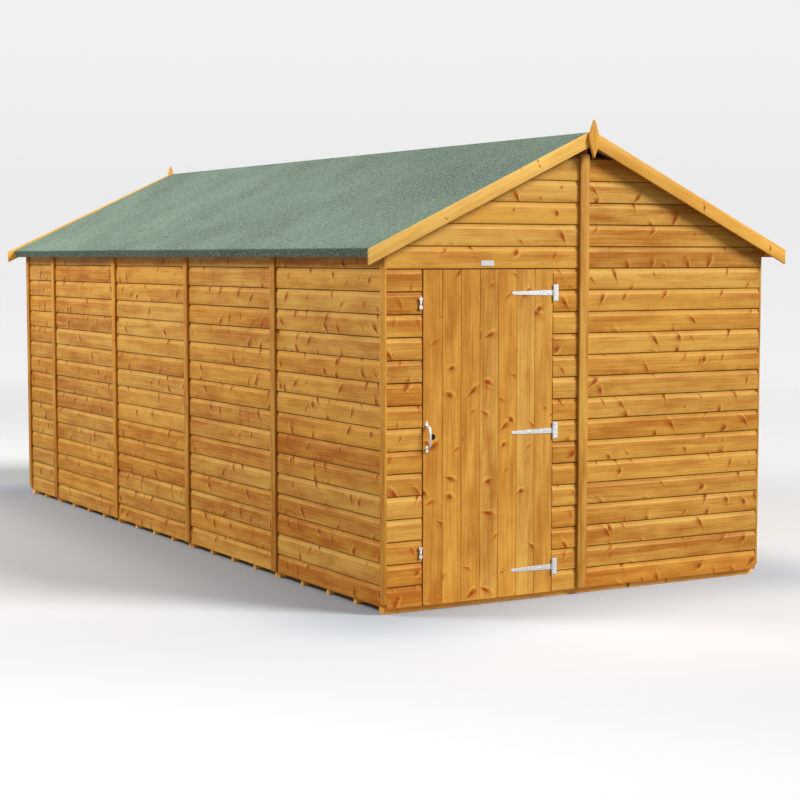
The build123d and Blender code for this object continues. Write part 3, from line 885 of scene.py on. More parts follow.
@dataclass
class Shiplap:
    """Rows of shiplap board: a lip at the foot, a flat face, a cove and a tongue above."""

    layout: Layout
    first_joint: float = 0.140
    pitch: float = 0.113
    thickness: float = 0.014
    cove_rise: float = 0.027
    cove_depth: float = 0.0053
    cove_step: float = 0.0003       # the small step where the cove leaves the face
    cove_start: float = 14.0        # and the cove's angle there, in degrees
    cove_steps: int = 6
    lap: float = 0.009              # the tongue's height behind the next board
    slack: float = 0.001            # the tongue's play in its rebate
    lip: float = 0.0064             # thickness of the lip over the tongue
    seam: float = 0.0004
    arris: float = 0.0012
    uneven: float = 0.0004          # how far boards differ in depth
    trim: float = 0.0005            # gap between a board's end and the roof
    near: float = 0.001             # joints this near are the same one
    least: float = 0.02             # no board is cut lower than this
    nail_lift: float = 0.030        # nails above the foot of each board
    nail_edge: float = 0.02         # and inside its sloped end
    cove_painted_light: float = -0.55       # painted highlight: the cove, which faces up to the light, is made paler
    flat_painted_shade: float = 0.30        # painted shade: deeper on the flat just below the cove
    # how far down the flat the painted shade fades
    flat_fade: float = 0.045
    joint_painted_shadow: float = 2.4        # painted shadow: deepest where two boards meet, under the lip
    # the painted shadow in the joints, lighter in a gable
    gable_joint_painted_shadow: float = 1.85

    def outline(self, low: float, high: float, plain_foot: bool, top: float | None,
                bend: float | None) -> Outline:
        """One board's section as distances in front of the wall and heights.

        Args:
            low: the joint at its foot.
            high: the joint at its head.
            plain_foot: whether the foot is cut square, as on the lowest board.
            top: the top of its tongue where that isn't the usual one.
            bend: a height at which the board's end changes direction.

        Returns:
            The section's points in order.
        """
        tongue = high + self.lap - self.slack if top is None else top
        back, start = -self.thickness, high - self.cove_rise
        points = [(back, low), (-self.arris, low)]
        if not plain_foot:
            rebate, foot = low + self.lap + self.slack, low + self.seam
            points = [(back, rebate), (-self.lip, rebate), (-self.lip, foot), (-self.arris, foot)]
        levels = [low + (start - low) * share for share in (0.25, 0.5, 0.75)]
        if bend is not None and low + 0.004 < bend < start - 0.004:
            levels = sorted([*levels, bend])
        points += [(-self.arris * 0.3, low + self.arris * 0.5), (0.0, low + self.arris * 1.5)]
        points += [(0.0, level) for level in (*levels, start - 0.0008)]
        first = math.radians(self.cove_start)
        for k in range(self.cove_steps + 1):
            turn = first + (math.pi / 2 - first) * k / self.cove_steps
            deep = (math.sin(turn) - math.sin(first)) / (1 - math.sin(first))
            rise = (math.cos(first) - math.cos(turn)) / math.cos(first)
            points.append((-self.cove_depth * deep - self.cove_step, start + (self.cove_rise - 0.001) * rise))
        return [*points, (-self.cove_depth - self.cove_step, tongue), (back, tongue)]

    def shades(self, points: Outline, foot: float, joint: float, first: bool, gable: bool) -> list[float]:
        """The light and shade painted at each point of a board's section: a painted highlight in the cove,
        painted shade on the flat below it, and a painted shadow in the joints and under the lip.

        Args:
            points: the section.
            foot: the joint at its foot.
            joint: the joint at its head.
            first: whether it is the lowest board.
            gable: whether it is in a gable.

        Returns:
            The shade at each point.
        """
        flat = joint - self.cove_rise - 0.0005
        found = []
        for proud, height in points:
            if proud == -self.thickness:
                found.append(0.0)
            elif height > joint - 0.002 or height < foot + 0.0015 and not first:
                found.append(self.gable_joint_painted_shadow if gable else self.joint_painted_shadow)
            elif height > flat:
                found.append(self.cove_painted_light)
            else:
                found.append(self.flat_painted_shade * max(0.0, 1 - (flat - height) / self.flat_fade))
        return found

    def lay(self, stock: Stock, face: WallFace, left: float, right: float, low: float, high: float,
            top: float, gable: bool = False) -> None:
        """Nails up the boards of one panel.

        Args:
            stock: the mesh that takes the boards.
            face: the wall's face.
            left: the panel's start along the wall.
            right: its end.
            low: foot of the lowest board.
            high: the joint at which the boards stop.
            top: top of the highest board's tongue.
            gable: whether the ends are cut to the slope of the roof.
        """
        foot = low
        joint = self.first_joint
        while joint < low + self.least:
            joint += self.pitch
        bend = self.layout.under(max(abs(left), abs(right))) if gable else None
        while joint < high + self.near:
            tongue = top if joint + self.pitch > high + self.near else None
            points = self.outline(foot, joint, foot == low and low < self.first_joint, tongue, bend)
            back = stock.chance.uniform(0.0, self.uneven)
            ends: list[list[Vector]] = [[], []]
            for proud, height in points:
                reach = self.layout.reach(height) - self.trim if gable else math.inf
                for end, place in zip(ends, (max(left, -reach), min(right, reach))):
                    end.append(face.at(place, height, max(proud - back, -self.thickness)))
            stock.add(loft(ends), face.along, UP, self.shades(points, foot, joint, foot == low, gable))
            foot = joint
            joint += self.pitch

    def nails(self, stock: Stock, face: WallFace, places: Iterable[float], low: float, high: float,
              gable: bool = False) -> None:
        """Drives one nail through each board at each stud.

        Args:
            stock: the mesh that takes the nails.
            face: the wall's face.
            places: where the studs stand along the wall.
            low: foot of the lowest board.
            high: the joint at which the boards stop.
            gable: whether the roof cuts the rows short.
        """
        for place in places:
            joint = self.first_joint
            while joint < high + self.near:
                height = max(low, joint - self.pitch) + self.nail_lift + stock.chance.uniform(-0.003, 0.003)
                inside = not gable or abs(place) < self.layout.reach(height) - self.nail_edge
                if joint > low + self.nail_lift and inside:
                    stock.fit(WALL_NAIL.on(face.seat(place + stock.chance.uniform(-0.004, 0.004), height)))
                joint += self.pitch


@dataclass
class Walls:
    """The four walls: boards, framing, cover strips and corner trims."""

    layout: Layout
    shiplap: Shiplap
    rows: int = 15                  # boards above the first on a side wall
    over_door: float = 1.722        # the joint above the door
    head_gap: float = 0.0005        # between the top board and what lies over it
    peak: float = 0.010             # from the last joint to the point of a gable
    frame_inset: float = 0.030      # middle of an edge stud from its panel's edge
    wide: float = 0.8               # panels wider than this have a middle stud
    jamb_nail: float = 0.012        # nails from the doorway's edge

    def clad_sides(self) -> None:
        """Boards of the side walls, panel by panel."""
        last = self.shiplap.first_joint + self.rows * self.shiplap.pitch
        for right, node, seed in ((False, "left_wall_boards", 11), (True, "right_wall_boards", 12)):
            face = self.layout.side(right)
            low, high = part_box(node)
            stock, nails = Stock("shiplap_" + node, seed), Stock("nails_" + node, seed)
            for start, end in self.layout.panels:
                self.shiplap.lay(stock, face, start, end, low.z, last, high.z - self.head_gap)
                places = [start + self.frame_inset, end - self.frame_inset]
                if end - start > self.wide:
                    places.append((start + end) / 2)
                self.shiplap.nails(nails, face, places, low.z, last)
            stock.make(CLADDING, [node])
            nails.make(NAIL_ZINC)

    def clad_gable(self, node: str, rear: bool, seed: int, deeper: float = 0.0) -> None:
        """Boards of part of a gable.

        Args:
            node: the CAD node that they stand for.
            rear: whether it stands at the back.
            seed: seed of its grain.
            deeper: how much deeper than usual the boards' tone is.
        """
        stock = Stock("shiplap_" + node, seed, deeper)
        for solid in solids_of(node):
            low, high = solid.low, solid.high
            sloped = high.z > self.over_door + self.peak
            last, top = (high.z - self.peak, high.z) if sloped else (high.z, high.z - self.head_gap)
            self.shiplap.lay(stock, self.layout.gable(rear), low.x, high.x, low.z, last, top, sloped)
        stock.make(CLADDING, [node])

    def nail_lines(self, rear: bool) -> list[float]:
        """Where nails go in a gable: at each stud, clear of the doorway and of the cover strip.

        Args:
            rear: whether it is the rear gable.

        Returns:
            Places along X.
        """
        end = "rear" if rear else "front"
        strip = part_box(end + "_cover_strip")
        jambs = [] if rear else [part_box("front_boards_left_of_door")[1].x - self.jamb_nail,
                                 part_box("front_boards_right_of_door")[0].x + self.jamb_nail]
        studs = {round(s.middle.x, 3) for s in solids_of(end + "_wall_studs") if s.high.z - s.low.z > 0.6}
        places = [next((jamb for jamb in jambs if abs(jamb - stud) < 0.03), stud) for stud in sorted(studs)]
        return [place for place in places if not strip[0].x < place < strip[1].x]

    def clad_gables(self) -> None:
        """Boards and nails of both gables."""
        # The boards over the door are painted paler, against the shade under the roof's overhang: painted
        # light. The other panels' offsets are tone.
        for node, rear, seed, deeper in (("front_boards_left_of_door", False, 21, 0.30),
                                         ("front_boards_right_of_door", False, 22, 0.05),
                                         ("front_boards_over_door", False, 23, -0.35),
                                         ("front_boards_right_panel", False, 24, 0.0),
                                         ("rear_wall_boards", True, 31, 0.0)):
            self.clad_gable(node, rear, seed, deeper)
        low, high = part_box("rear_wall_boards")
        for rear, name in ((False, "nails_front_wall"), (True, "nails_rear_wall")):
            nails, face = Stock(name, 33), self.layout.gable(rear)
            self.shiplap.nails(nails, face, self.nail_lines(rear), low.z, high.z - self.peak, True)
            nails.make(NAIL_ZINC)

    def build(self) -> None:
        """Makes all the walls' pieces."""
        self.clad_sides()
        self.clad_gables()
        members(("side_wall_rails", "side_wall_studs", "front_wall_rails", "front_wall_studs",
                 "rear_wall_rails", "rear_wall_studs"), FRAMING, 0.0012, 41)
        members(("left_cover_strips", "right_cover_strips", "front_cover_strip", "rear_cover_strip",
                 "front_corner_trims", "rear_corner_trims"), WALL_TRIM, 0.0018, 51)


# ---- Floor ----
@dataclass
class Floor:
    """Joists, and tongued boards laid along the shed in sections."""

    board_width: float = 0.098
    seam: float = 0.0008
    arris: float = 0.0010
    nail_inset: float = 0.018

    def build(self) -> None:
        """Makes the joists and the boards."""
        members(("floor_joists",), JOISTS, 0.0012, 61, cut="sawn_")
        stock, nails = Stock("floor_boards", 62), Stock("floor_nails", 63)
        for deck in solids_of("floor_decking"):
            low, high, arris = deck.low, deck.high, self.arris
            rows = [joist.middle.y for joist in solids_of("floor_joists") if low.y < joist.middle.y < high.y]
            count = round((high.x - low.x) / self.board_width)
            width = (high.x - low.x) / count
            for k in range(count):
                x0 = low.x + k * width + self.seam / 2
                x1 = x0 + width - self.seam
                outline = [(x0, low.z), (x1, low.z), (x1, high.z - arris), (x1 - arris, high.z),
                           (x0 + arris, high.z), (x0, high.z - arris)]
                ends = [[Vector((x, y, z)) for x, z in outline] for y in (low.y, high.y)]
                stock.add(loft(ends), BACK, RIGHT)
                for y in rows:
                    for x in (x0 + self.nail_inset, x1 - self.nail_inset):
                        nails.fit(FLOOR_NAIL.on(Seat(Vector((x, y, high.z)), RIGHT, UP)))
        stock.make(SHEETING, ["floor_decking"])
        nails.make(NAIL_ZINC)


# ---- Roof ----
def drift(x: float, y: float, z: float) -> float:
    """A slow wander between 0 and 1."""
    return 0.5 + 0.5 * noise.noise(Vector((x, y, z)))


@dataclass
class Roof:
    """Roof boards, felt with its fold, battens, rafters, ties, bargeboards and finials."""

    layout: Layout
    board_width: float = 0.096
    seam: float = 0.0008
    vee: float = 0.0018
    felt_thickness: float = 0.0027
    bend_radius: float = 0.009
    felt_step: float = 0.045        # the felt's steps along the ridge
    slope_steps: int = 22           # and down the slope,
    bend_steps: int = 6             # round the eaves
    fold_steps: int = 6             # and down the fold
    swell: float = 0.0010           # how far the felt sinks between its nails
    fold_swell: float = 0.0012
    ragged: float = 0.0020          # how uneven its lower edge is
    calm: float = 0.15              # how far in from its ends it lies flat

    def boards(self) -> None:
        """Tongued boards that run along each slope."""
        under, pitch = self.layout.under, math.atan(self.layout.slope)
        for side, name in ((-1, "left"), (1, "right")):
            node = "roof_boards_" + name
            solid = solids_of(node)[0]
            spots = [(abs(c.x), c.z) for c in solid.corners]
            deep = max(z for x, z in spots if x < TOUCH) - self.layout.ridge_under
            low_edge = next(x for x, z in spots if abs(z - under(x)) < TOUCH and x > self.board_width)
            top_edge = max(x for x, _ in spots)
            count = round(low_edge / self.board_width * math.hypot(1, self.layout.slope))
            stock = Stock("tongued_" + node, 71 + side)
            for k in range(count):
                start = low_edge * k / count + (self.seam / 2 if k else 0.0)
                foot = head = low_edge * (k + 1) / count - self.seam / 2
                bevel = rise = self.vee
                if k == count - 1:
                    foot, head, bevel, rise = low_edge, top_edge, 0.0, 0.0001
                outline = [(x, under(x) + lift) for x, lift in (
                    (start + self.vee, 0.0), (foot - bevel, 0.0), (foot, rise), (head, deep), (start, deep),
                    (start, self.vee))]
                ends = [[Vector((side * x, y, z)) for x, z in outline] for y in (solid.low.y, solid.high.y)]
                stock.add(loft(ends), BACK, Vector((side * math.cos(pitch), 0, -math.sin(pitch))))
            stock.make(SHEETING, [node])

    def felt_line(self, foot: tuple[float, float], corner: tuple[float, float]) -> Outline:
        """The felt's outer face in section.

        Args:
            foot: the foot of its fold.
            corner: where the slope and the fold would meet.

        Returns:
            Points from the ridge round the eaves to the fold's foot.
        """
        top = self.layout.ridge_top
        points = [(corner[0] * k / self.slope_steps, top + (corner[1] - top) * k / self.slope_steps)
                  for k in range(self.slope_steps)]
        down = math.atan2(corner[1] - top, corner[0])
        fall = math.atan2(foot[1] - corner[1], foot[0] - corner[0])
        reach = self.bend_radius
        before = (corner[0] - math.cos(down) * reach, corner[1] - math.sin(down) * reach)
        after = (corner[0] + math.cos(fall) * reach, corner[1] + math.sin(fall) * reach)
        for k in range(self.bend_steps + 1):
            t = k / self.bend_steps
            points.append(tuple((1 - t) ** 2 * p + 2 * t * (1 - t) * q + t * t * r
                                for p, q, r in zip(before, corner, after)))
        return points + [tuple(p + (q - p) * k / self.fold_steps for p, q in zip(after, foot))
                         for k in range(1, self.fold_steps + 1)]

    def felt_section(self, line: Outline, side: int, y: float, calm: float) -> list[Vector]:
        """The felt's section at one place along the ridge.

        Args:
            line: its outer face where it lies flat.
            side: -1 for the left slope, 1 for the right.
            y: the place.
            calm: how freely it sinks there, from 0 to 1.

        Returns:
            The section's points, out along its face and back along its underside.
        """
        outer, inner = [], []
        for n, (x, z) in enumerate(line):
            before, after = line[max(0, n - 1)], line[min(len(line) - 1, n + 1)]
            way = Vector((after[0] - before[0], 0, after[1] - before[1])).normalized()
            inward = Vector((way.z, 0, -way.x))
            free = min(calm, n / 2)
            dent = drift(x * 14.0, y * 5.5, side * 3.0)
            sink = (drift(x * 2.6, y * 2.1, side * 7.0) * 0.6 + dent * 0.4) * self.swell * free
            lift = 0.0
            fold = n - len(line) + self.fold_steps + 1
            if fold > 0:
                sink = (0.3 + 0.7 * dent) * self.fold_swell * free
                lift = fold / (self.fold_steps + 1) * self.ragged * drift(3.1, y * 9.0, side)
            point = Vector((x, y, z)) + inward * sink + UP * lift
            under = point + inward * self.felt_thickness
            outer.append(Vector((side * point.x, y, point.z)))
            inner.append(Vector((side * max(under.x, 0.0), y, under.z)))
        return outer + inner[::-1]

    def felt(self) -> None:
        """Felt on each slope, folded down over the batten."""
        for side, name in ((-1, "left"), (1, "right")):
            node = "roof_felt_" + name
            solid = solids_of(node)[0]
            spots = [(abs(c.x), c.z) for c in solid.corners]
            edge = max(x for x, _ in spots)
            corner = (edge, max(z for x, z in spots if x > edge - TOUCH))
            foot = max(spot for spot in spots if spot[1] < solid.low.z + TOUCH)
            line = self.felt_line(foot, corner)
            start, end = solid.low.y, solid.high.y
            count = round((end - start) / self.felt_step)
            sections = []
            for k in range(count + 1):
                y = start + (end - start) * k / count
                calm = min(1.0, (y - start) / self.calm, (end - y) / self.calm)
                sections.append(self.felt_section(line, side, y, calm))
            stock = Stock("mineral_" + node, 81)
            stock.add(loft(sections), BACK, RIGHT)
            stock.make(FELT, [node], smooth=50.0)

    def build(self) -> None:
        """Makes all the roof's pieces."""
        self.boards()
        self.felt()
        members(("rafters", "collar_ties"), FRAMING, 0.0012, 91)
        members(("eaves_battens",), ROOF_TRIM, 0.0010, 94)
        members(("front_bargeboards", "rear_bargeboards", "front_finial", "rear_finial"), ROOF_TRIM,
                0.0015, 95)


# ---- Door ----
def bored(solid: Solid, seat: Seat, radius: float, depth: float) -> Solid:
    """The solid with a round hole cut through it.

    Args:
        solid: what to cut.
        seat: the hole's middle and direction.
        radius: the hole's radius.
        depth: how far the cutter reaches each way.

    Returns:
        The bored solid.
    """
    cutter = turned(seat, [(radius, -depth), (radius, depth)], 32)
    blank, tool = (placed("cut", mesh_of("cut", shape)) for shape in (solid, cutter))
    cut = blank.modifiers.new("bore", "BOOLEAN")
    cut.operation = "DIFFERENCE"
    cut.solver = "EXACT"
    cut.object = tool
    result = bpy.data.meshes.new_from_object(blank.evaluated_get(bpy.context.evaluated_depsgraph_get()))
    holed = Solid([v.co.copy() for v in result.vertices], [tuple(p.vertices) for p in result.polygons])
    for piece in (blank, tool):
        bpy.data.objects.remove(piece)
    return holed


@dataclass
class Door:
    """The ledged and braced door with its lock and handle."""

    boards: int = 7
    seam: float = 0.0006
    vee: float = 0.0018
    arris: float = 0.0010           # on the door's own edges
    tongue: float = 0.0050
    tongue_half: float = 0.0020     # half its thickness at the root
    tongue_taper: float = 0.0004
    strap_reach: float = 0.262      # no nail is driven under a strap
    lock_face: float = 0.002        # how far the key boss stands in front of the lock's case
    lock_screw: tuple[float, float] = (0.034, 0.045)
    keep_screw: float = 0.03
    bar: float = 0.004              # the handle's thickness
    bow: float = 0.0135             # and its width
    foot: float = 0.036             # length of each of its feet
    foot_thickness: float = 0.0028
    hole: Seat = field(init=False)
    hole_radius: float = field(init=False)

    def __post_init__(self) -> None:
        """Finds the key hole in the lock board."""
        board = solids_of("door_lock_board")[0]
        low, high = board.low, board.high
        rim = [c for c in board.corners
               if low.x + 0.002 < c.x < high.x - 0.002 and low.z + 0.05 < c.z < high.z - 0.05]
        xs, zs = [c.x for c in rim], [c.z for c in rim]
        self.hole = self.face.seat((min(xs) + max(xs)) / 2, (min(zs) + max(zs)) / 2)
        self.hole_radius = (max(xs) - min(xs)) / 2

    @property
    def face(self) -> WallFace:
        """The leaf's outer face."""
        return WallFace(Vector((0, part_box("door_boards")[0].y, 0)), RIGHT, FRONT)

    def board(self, left: float, right: float, low: float, high: float, thick: float, first: bool,
              last: bool) -> Solid:
        """One tongued board with a V at each joint.

        Args:
            left: its left edge.
            right: its right edge.
            low: its foot.
            high: its head.
            thick: its thickness.
            first: whether its left edge is the door's.
            last: whether its right edge is the door's.

        Returns:
            The board.
        """
        start, bevel = (left, self.arris) if first else (left + self.seam / 2, self.vee)
        end, chamfer = (right, self.arris) if last else (right - self.seam / 2, self.vee)
        middle, root, taper = -thick / 2 - 0.001, self.tongue_half, self.tongue_taper
        outline = [(start, -bevel), (start + bevel, 0.0), (end - chamfer, 0.0), (end, -chamfer)]
        if not last:
            tip = right + self.tongue
            outline += [(end, middle + root), (tip, middle + root - taper), (tip, middle - root + taper),
                        (end, middle - root)]
        outline += [(end, -thick), (start, -thick)]
        if not first:
            deep = start + self.tongue + 0.0005
            outline += [(start, middle - root - taper), (deep, middle - root), (deep, middle + root),
                        (start, middle + root + taper)]
        return loft([[self.face.at(x, z, proud) for x, proud in outline] for z in (low, high)])

    def leaf(self) -> None:
        """The boards, and the nails through the ledges."""
        low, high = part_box("door_lock_board")[0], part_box("door_boards")[1]
        width = (high.x - low.x) / self.boards
        lock, rest = Stock("tongued_door_lock_board", 101), Stock("tongued_door_boards", 102)
        nails = Stock("door_nails", 103)
        heights = [s.middle.z for s in solids_of("hinge_plates")]
        for k in range(self.boards):
            solid = self.board(low.x + k * width, low.x + (k + 1) * width, low.z, high.z, high.y - low.y,
                               k == 0, k == self.boards - 1)
            if k == 0:
                lock.fit(bored(solid, self.hole, self.hole_radius, 0.05))
            else:
                rest.fit(solid)
            for row, height in enumerate(heights):
                for share, rise in ((0.24, 0.010), (0.76, -0.012)):
                    x = low.x + (k + share) * width + nails.chance.uniform(-0.006, 0.006)
                    z = height + rise + nails.chance.uniform(-0.006, 0.006)
                    under_strap = abs(z - height) < 0.020 and x > high.x - self.strap_reach
                    if not (k == 0 and row == 1) and not under_strap:
                        nails.fit(DOOR_NAIL.on(self.face.seat(x, z)))
        lock.make(DOOR_BOARDS, ["door_lock_board"], Body.DOOR)
        rest.make(DOOR_BOARDS, ["door_boards"], Body.DOOR)
        nails.make(NAIL_ZINC, body=Body.DOOR)

    def lock(self) -> None:
        """The rim lock's case with its key way, and a liner in the hole."""
        low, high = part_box("rim_lock")
        middle, deep = (low + high) / 2, high.y - low.y - self.lock_face
        seat = Seat(Vector((middle.x, low.y, middle.z)), LEFT, BACK)    # on the door, looking into the shed
        hole, radius = self.hole, self.hole_radius
        thick = low.y - self.face.origin.y
        case = Stock("rim_lock_case", 111)
        case.fit(plate(seat, rounded_box(high.x - low.x, high.z - low.z, 0.004), 0.0, deep, 0.0012))
        case.fit(KEY_BOSS.on(Seat(hole.at(0, 0, -thick - deep), LEFT, BACK)))
        case.fit(KEY_WAY.on(hole.moved(0, 0, -thick)))
        right, up = self.lock_screw
        case.drive(LOCK_SCREW, seat, [(x, z) for x in (-right, right) for z in (-up, up)], deep)
        case.make(LACQUER, ["rim_lock"], Body.DOOR)
        liner = Stock("key_hole_liner", 112)
        back = 0.0004 - thick
        profile = [(radius + step, rise) for step, rise in (
            (-0.0004, back), (-0.0004, 0.0), (0.0022, 0.0002), (0.0018, 0.0012), (-0.0012, 0.0012),
            (-0.0020, 0.0), (-0.0020, back))]
        liner.fit(tube(hole, profile, 32))
        liner.make(LACQUER, body=Body.DOOR)

    def keep(self) -> None:
        """The lock's keep on the frame, with its screws."""
        low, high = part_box("lock_keep")
        middle = (low + high) / 2
        stock = Stock("folded_lock_keep", 113)
        stock.fit(eased(solids_of("lock_keep")[0], 0.0007))
        seat = Seat(Vector((high.x, middle.y, middle.z)), BACK, RIGHT)
        stock.drive(KEEP_SCREW, seat, ((0, -self.keep_screw), (0, self.keep_screw)), 0)
        stock.make(LACQUER, ["lock_keep"])

    def handle(self) -> None:
        """The bow handle: one bar with a flat oval foot at each end."""
        low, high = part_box("door_handle")
        middle, bar = (low + high) / 2, self.bar
        rise = low.z + self.foot * 0.62 - middle.z
        path: list[tuple[float, float, float]] = []         # out, up, width
        for k in range(33):
            angle = math.pi * k / 32
            out = (high.y - low.y - bar / 2) * math.sin(angle) ** 0.55
            up = middle.z + rise * math.copysign(abs(math.cos(angle)) ** 0.80, math.cos(angle))
            path.append((max(out, bar / 2), up, self.bow * (1.0 - 0.18 * math.sin(angle))))
        sections = []
        for k, (out, up, wide) in enumerate(path):
            a, b = path[max(0, k - 1)], path[min(len(path) - 1, k + 1)]
            face_out = Vector((0, a[0] - b[0], b[1] - a[1])).normalized().cross(RIGHT)
            sections.append([Vector((middle.x, high.y - out, up)) + RIGHT * p + face_out * q
                             for p, q in rounded_box(wide, bar, bar * 0.42, 3)])
        stock = Stock("forged_door_handle", 121)
        stock.fit(loft(sections))
        turns = [math.tau * k / 28 for k in range(28)]
        oval = [((high.x - low.x) / 2 * math.cos(turn), self.foot / 2 * math.sin(turn)) for turn in turns]
        for end, centre in ((-1, low.z + self.foot / 2), (1, high.z - self.foot / 2)):
            seat = Seat(Vector((middle.x, high.y, centre)), RIGHT, FRONT)
            stock.fit(plate(seat, oval, 0.0, self.foot_thickness, 0.0008))
            stock.drive(HANDLE_SCREW, seat, [(0, end * self.foot * 0.30)], self.foot_thickness)
        stock.make(ZINC, ["door_handle"], Body.DOOR)

    def build(self) -> None:
        """Makes all the door's pieces."""
        self.leaf()
        members(("door_ledges", "door_braces"), DOOR_BOARDS, 0.0016, 131, Body.DOOR)
        self.lock()
        self.keep()
        self.handle()


# ---- Fittings ----
@dataclass
class Hinges:
    """Three tee hinges: a strap on the door and a leaf on the wall, on one pin."""

    layout: Layout
    leaf_height: float = 0.085
    leaf_gap: float = 0.0015        # between the pin and the wall leaf's edge
    strap_root: float = 0.028
    strap_tip: float = 0.016
    strap_back: float = 0.002       # the door's face in front of the wall's
    gauge: float = 0.0025
    ease: float = 0.0005
    knuckle: float = 0.0050
    knuckle_height: float = 0.036
    knuckle_gap: float = 0.0006
    bore: float = 0.0032
    pin: float = 0.0030
    pin_ease: float = 0.0006
    neck: float = 0.0005            # the neck's start in front of the pin

    def strap(self, stock: Stock, pin: Vector, length: float, face: float) -> None:
        """One tapered strap with a round tip, its screws and its knuckle.

        Args:
            stock: the mesh that takes it.
            pin: the pin's middle.
            length: from the pin to the strap's tip.
            face: Y of the door's face.
        """
        seat = Seat(Vector((pin.x, face, pin.z)), LEFT, FRONT)
        tip, root, half = self.strap_tip / 2, self.strap_root / 2, self.knuckle_height / 2
        outline = [(0.004, root * 0.98), (0.012, root)]
        outline += [(length - tip + tip * math.sin(math.pi * k / 10), tip * math.cos(math.pi * k / 10))
                    for k in range(11)]
        outline += [(0.012, -root), (0.004, -root * 0.98)]
        stock.fit(plate(seat, outline, 0.0, self.gauge, self.ease))
        spots = [(out, 0) for out in (0.030, 0.075, 0.150, length - 0.012)]
        stock.drive(STRAP_SCREW, seat, spots, self.gauge)
        self.barrel(stock, pin, pin.z - half, pin.z + half, -0.006, -self.bore, face)

    def barrel(self, stock: Stock, pin: Vector, low: float, high: float, left: float, right: float,
               face: float) -> None:
        """A knuckle rolled round the pin: a tube with eased ends, and its turned-in neck.

        Args:
            stock: the mesh that takes it.
            pin: the pin's middle.
            low: its foot.
            high: its head.
            left: the neck's left side, from the pin.
            right: the neck's right side, from the pin.
            face: Y of the face that its leaf lies on.
        """
        ease, outer = self.ease, self.knuckle
        stock.fit(tube(Seat(Vector((pin.x, pin.y, 0)), RIGHT, UP),
                       [(self.bore, low), (outer - ease, low), (outer, low + ease), (outer, high - ease),
                        (outer - ease, high), (self.bore, high)], 24))
        near = pin.y - self.neck
        corners = ((left, near), (right, near), (right, face), (left, face))
        ends = [[Vector((pin.x + x, y, z)) for x, y in corners] for z in (low, high)]
        stock.fit(eased(loft(ends), 0.0006, 1))

    def build(self) -> None:
        """Makes the wall leaves with their pins, and the straps."""
        straps, leaves = Stock("hinge_strap_leaves", 141), Stock("hinge_wall_leaves", 142)
        wall = -self.layout.half_length
        gap = self.knuckle_height / 2 + self.knuckle_gap
        for leaf, strap in zip(*(sorted(solids_of(node), key=lambda s: s.middle.z)
                                 for node in ("hinge_plates", "hinge_straps"))):
            height, low, high = leaf.middle.z, leaf.low, leaf.high
            pin = Vector((low.x + self.knuckle, low.y + self.knuckle, height))
            self.strap(straps, pin, pin.x - strap.low.x, wall - self.strap_back)
            width = high.x - pin.x - self.leaf_gap
            seat = Seat(Vector((pin.x + self.leaf_gap + width / 2, wall, height)), RIGHT, FRONT)
            leaves.fit(plate(seat, rounded_box(width, self.leaf_height, 0.004), 0.0, self.gauge, self.ease))
            spots = ((-0.002, 0.033), (0.006, 0.014), (0.006, -0.014), (-0.002, -0.033))
            leaves.drive(LEAF_SCREW, seat, spots, self.gauge)
            for z0, z1 in ((low.z, height - gap), (height + gap, high.z)):
                self.barrel(leaves, pin, z0, z1, self.bore, 0.005, wall)
            rod, ease = self.pin, self.pin_ease
            profile = [(rod - ease, low.z), (rod, low.z + ease), (rod, high.z - ease), (rod - ease, high.z)]
            leaves.fit(turned(Seat(Vector((pin.x, pin.y, 0)), RIGHT, UP), profile, 20))
        straps.make(ZINC, ["hinge_straps"], Body.DOOR)
        leaves.make(ZINC, ["hinge_plates"])


@dataclass
class TurnButtons:
    """Two turn buttons on the wall beside the door, each on its own screw."""

    layout: Layout
    end_radius: float = 0.0105
    waist: float = 0.0120
    bore: float = 0.0033

    def build(self) -> None:
        """Makes the buttons and their screws."""
        screws = Stock("turn_button_wall_screws", 151)
        radius = self.end_radius
        start = math.asin(self.waist / 2 / radius)
        turns = [start - math.pi / 2 + (math.tau - 2 * start) * k / 18 for k in range(19)]
        for node, body in (("lower_turn_button", Body.LOWER_BUTTON),
                           ("upper_turn_button", Body.UPPER_BUTTON)):
            low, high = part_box(node)
            middle = (low + high) / 2
            seat = Seat(Vector((middle.x, high.y, middle.z)), RIGHT, FRONT)
            reach = (high.z - low.z) / 2 - radius
            outline = [(side * radius * math.cos(turn), side * (reach + radius * math.sin(turn)))
                       for side in (1, -1) for turn in turns]
            stock = Stock("cast_" + node, 152)
            stock.fit(bored(plate(seat, outline, 0.0, high.y - low.y, 0.0009), seat, self.bore, 0.02))
            stock.make(ZINC, [node], body)
            back, front = -self.layout.half_length - high.y, -self.layout.half_length - low.y
            wall = self.layout.gable().seat(middle.x, middle.z)
            collar = [(0.0050, -0.001), (0.0050, back - 0.0008), (0.0046, back - 0.0003)]
            shank = [(0.0028, 0.0), (0.0028, front + 0.0006)]
            dome = [(radius, front + rise) for radius, rise in (
                (0.0055, 0.0003), (0.0055, 0.0012), (0.0036, 0.0026), (0.0012, 0.0028))]
            for profile, count in ((collar, 20), (shank, 16), (dome, 20)):
                screws.fit(turned(wall, profile, count))
        screws.make(ZINC, ["turn_button_screws"])


@dataclass
class NamePlate:
    """The small bare plate over the door, on two pins."""

    corner: float = 0.0025
    ease: float = 0.0004
    pin_inset: float = 0.006

    def build(self) -> None:
        """Makes the plate and its pins."""
        low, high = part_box("name_plate")
        middle, size = (low + high) / 2, high - low
        seat = Seat(Vector((middle.x, high.y, middle.z)), RIGHT, FRONT)
        stock = Stock("bare_name_plate", 161)
        stock.fit(plate(seat, rounded_box(size.x, size.z, self.corner), 0.0, size.y, self.ease))
        pin = size.x / 2 - self.pin_inset
        stock.drive(PLATE_PIN, seat, ((-pin, 0), (pin, 0)), size.y)
        stock.make(PLATE, ["name_plate"])


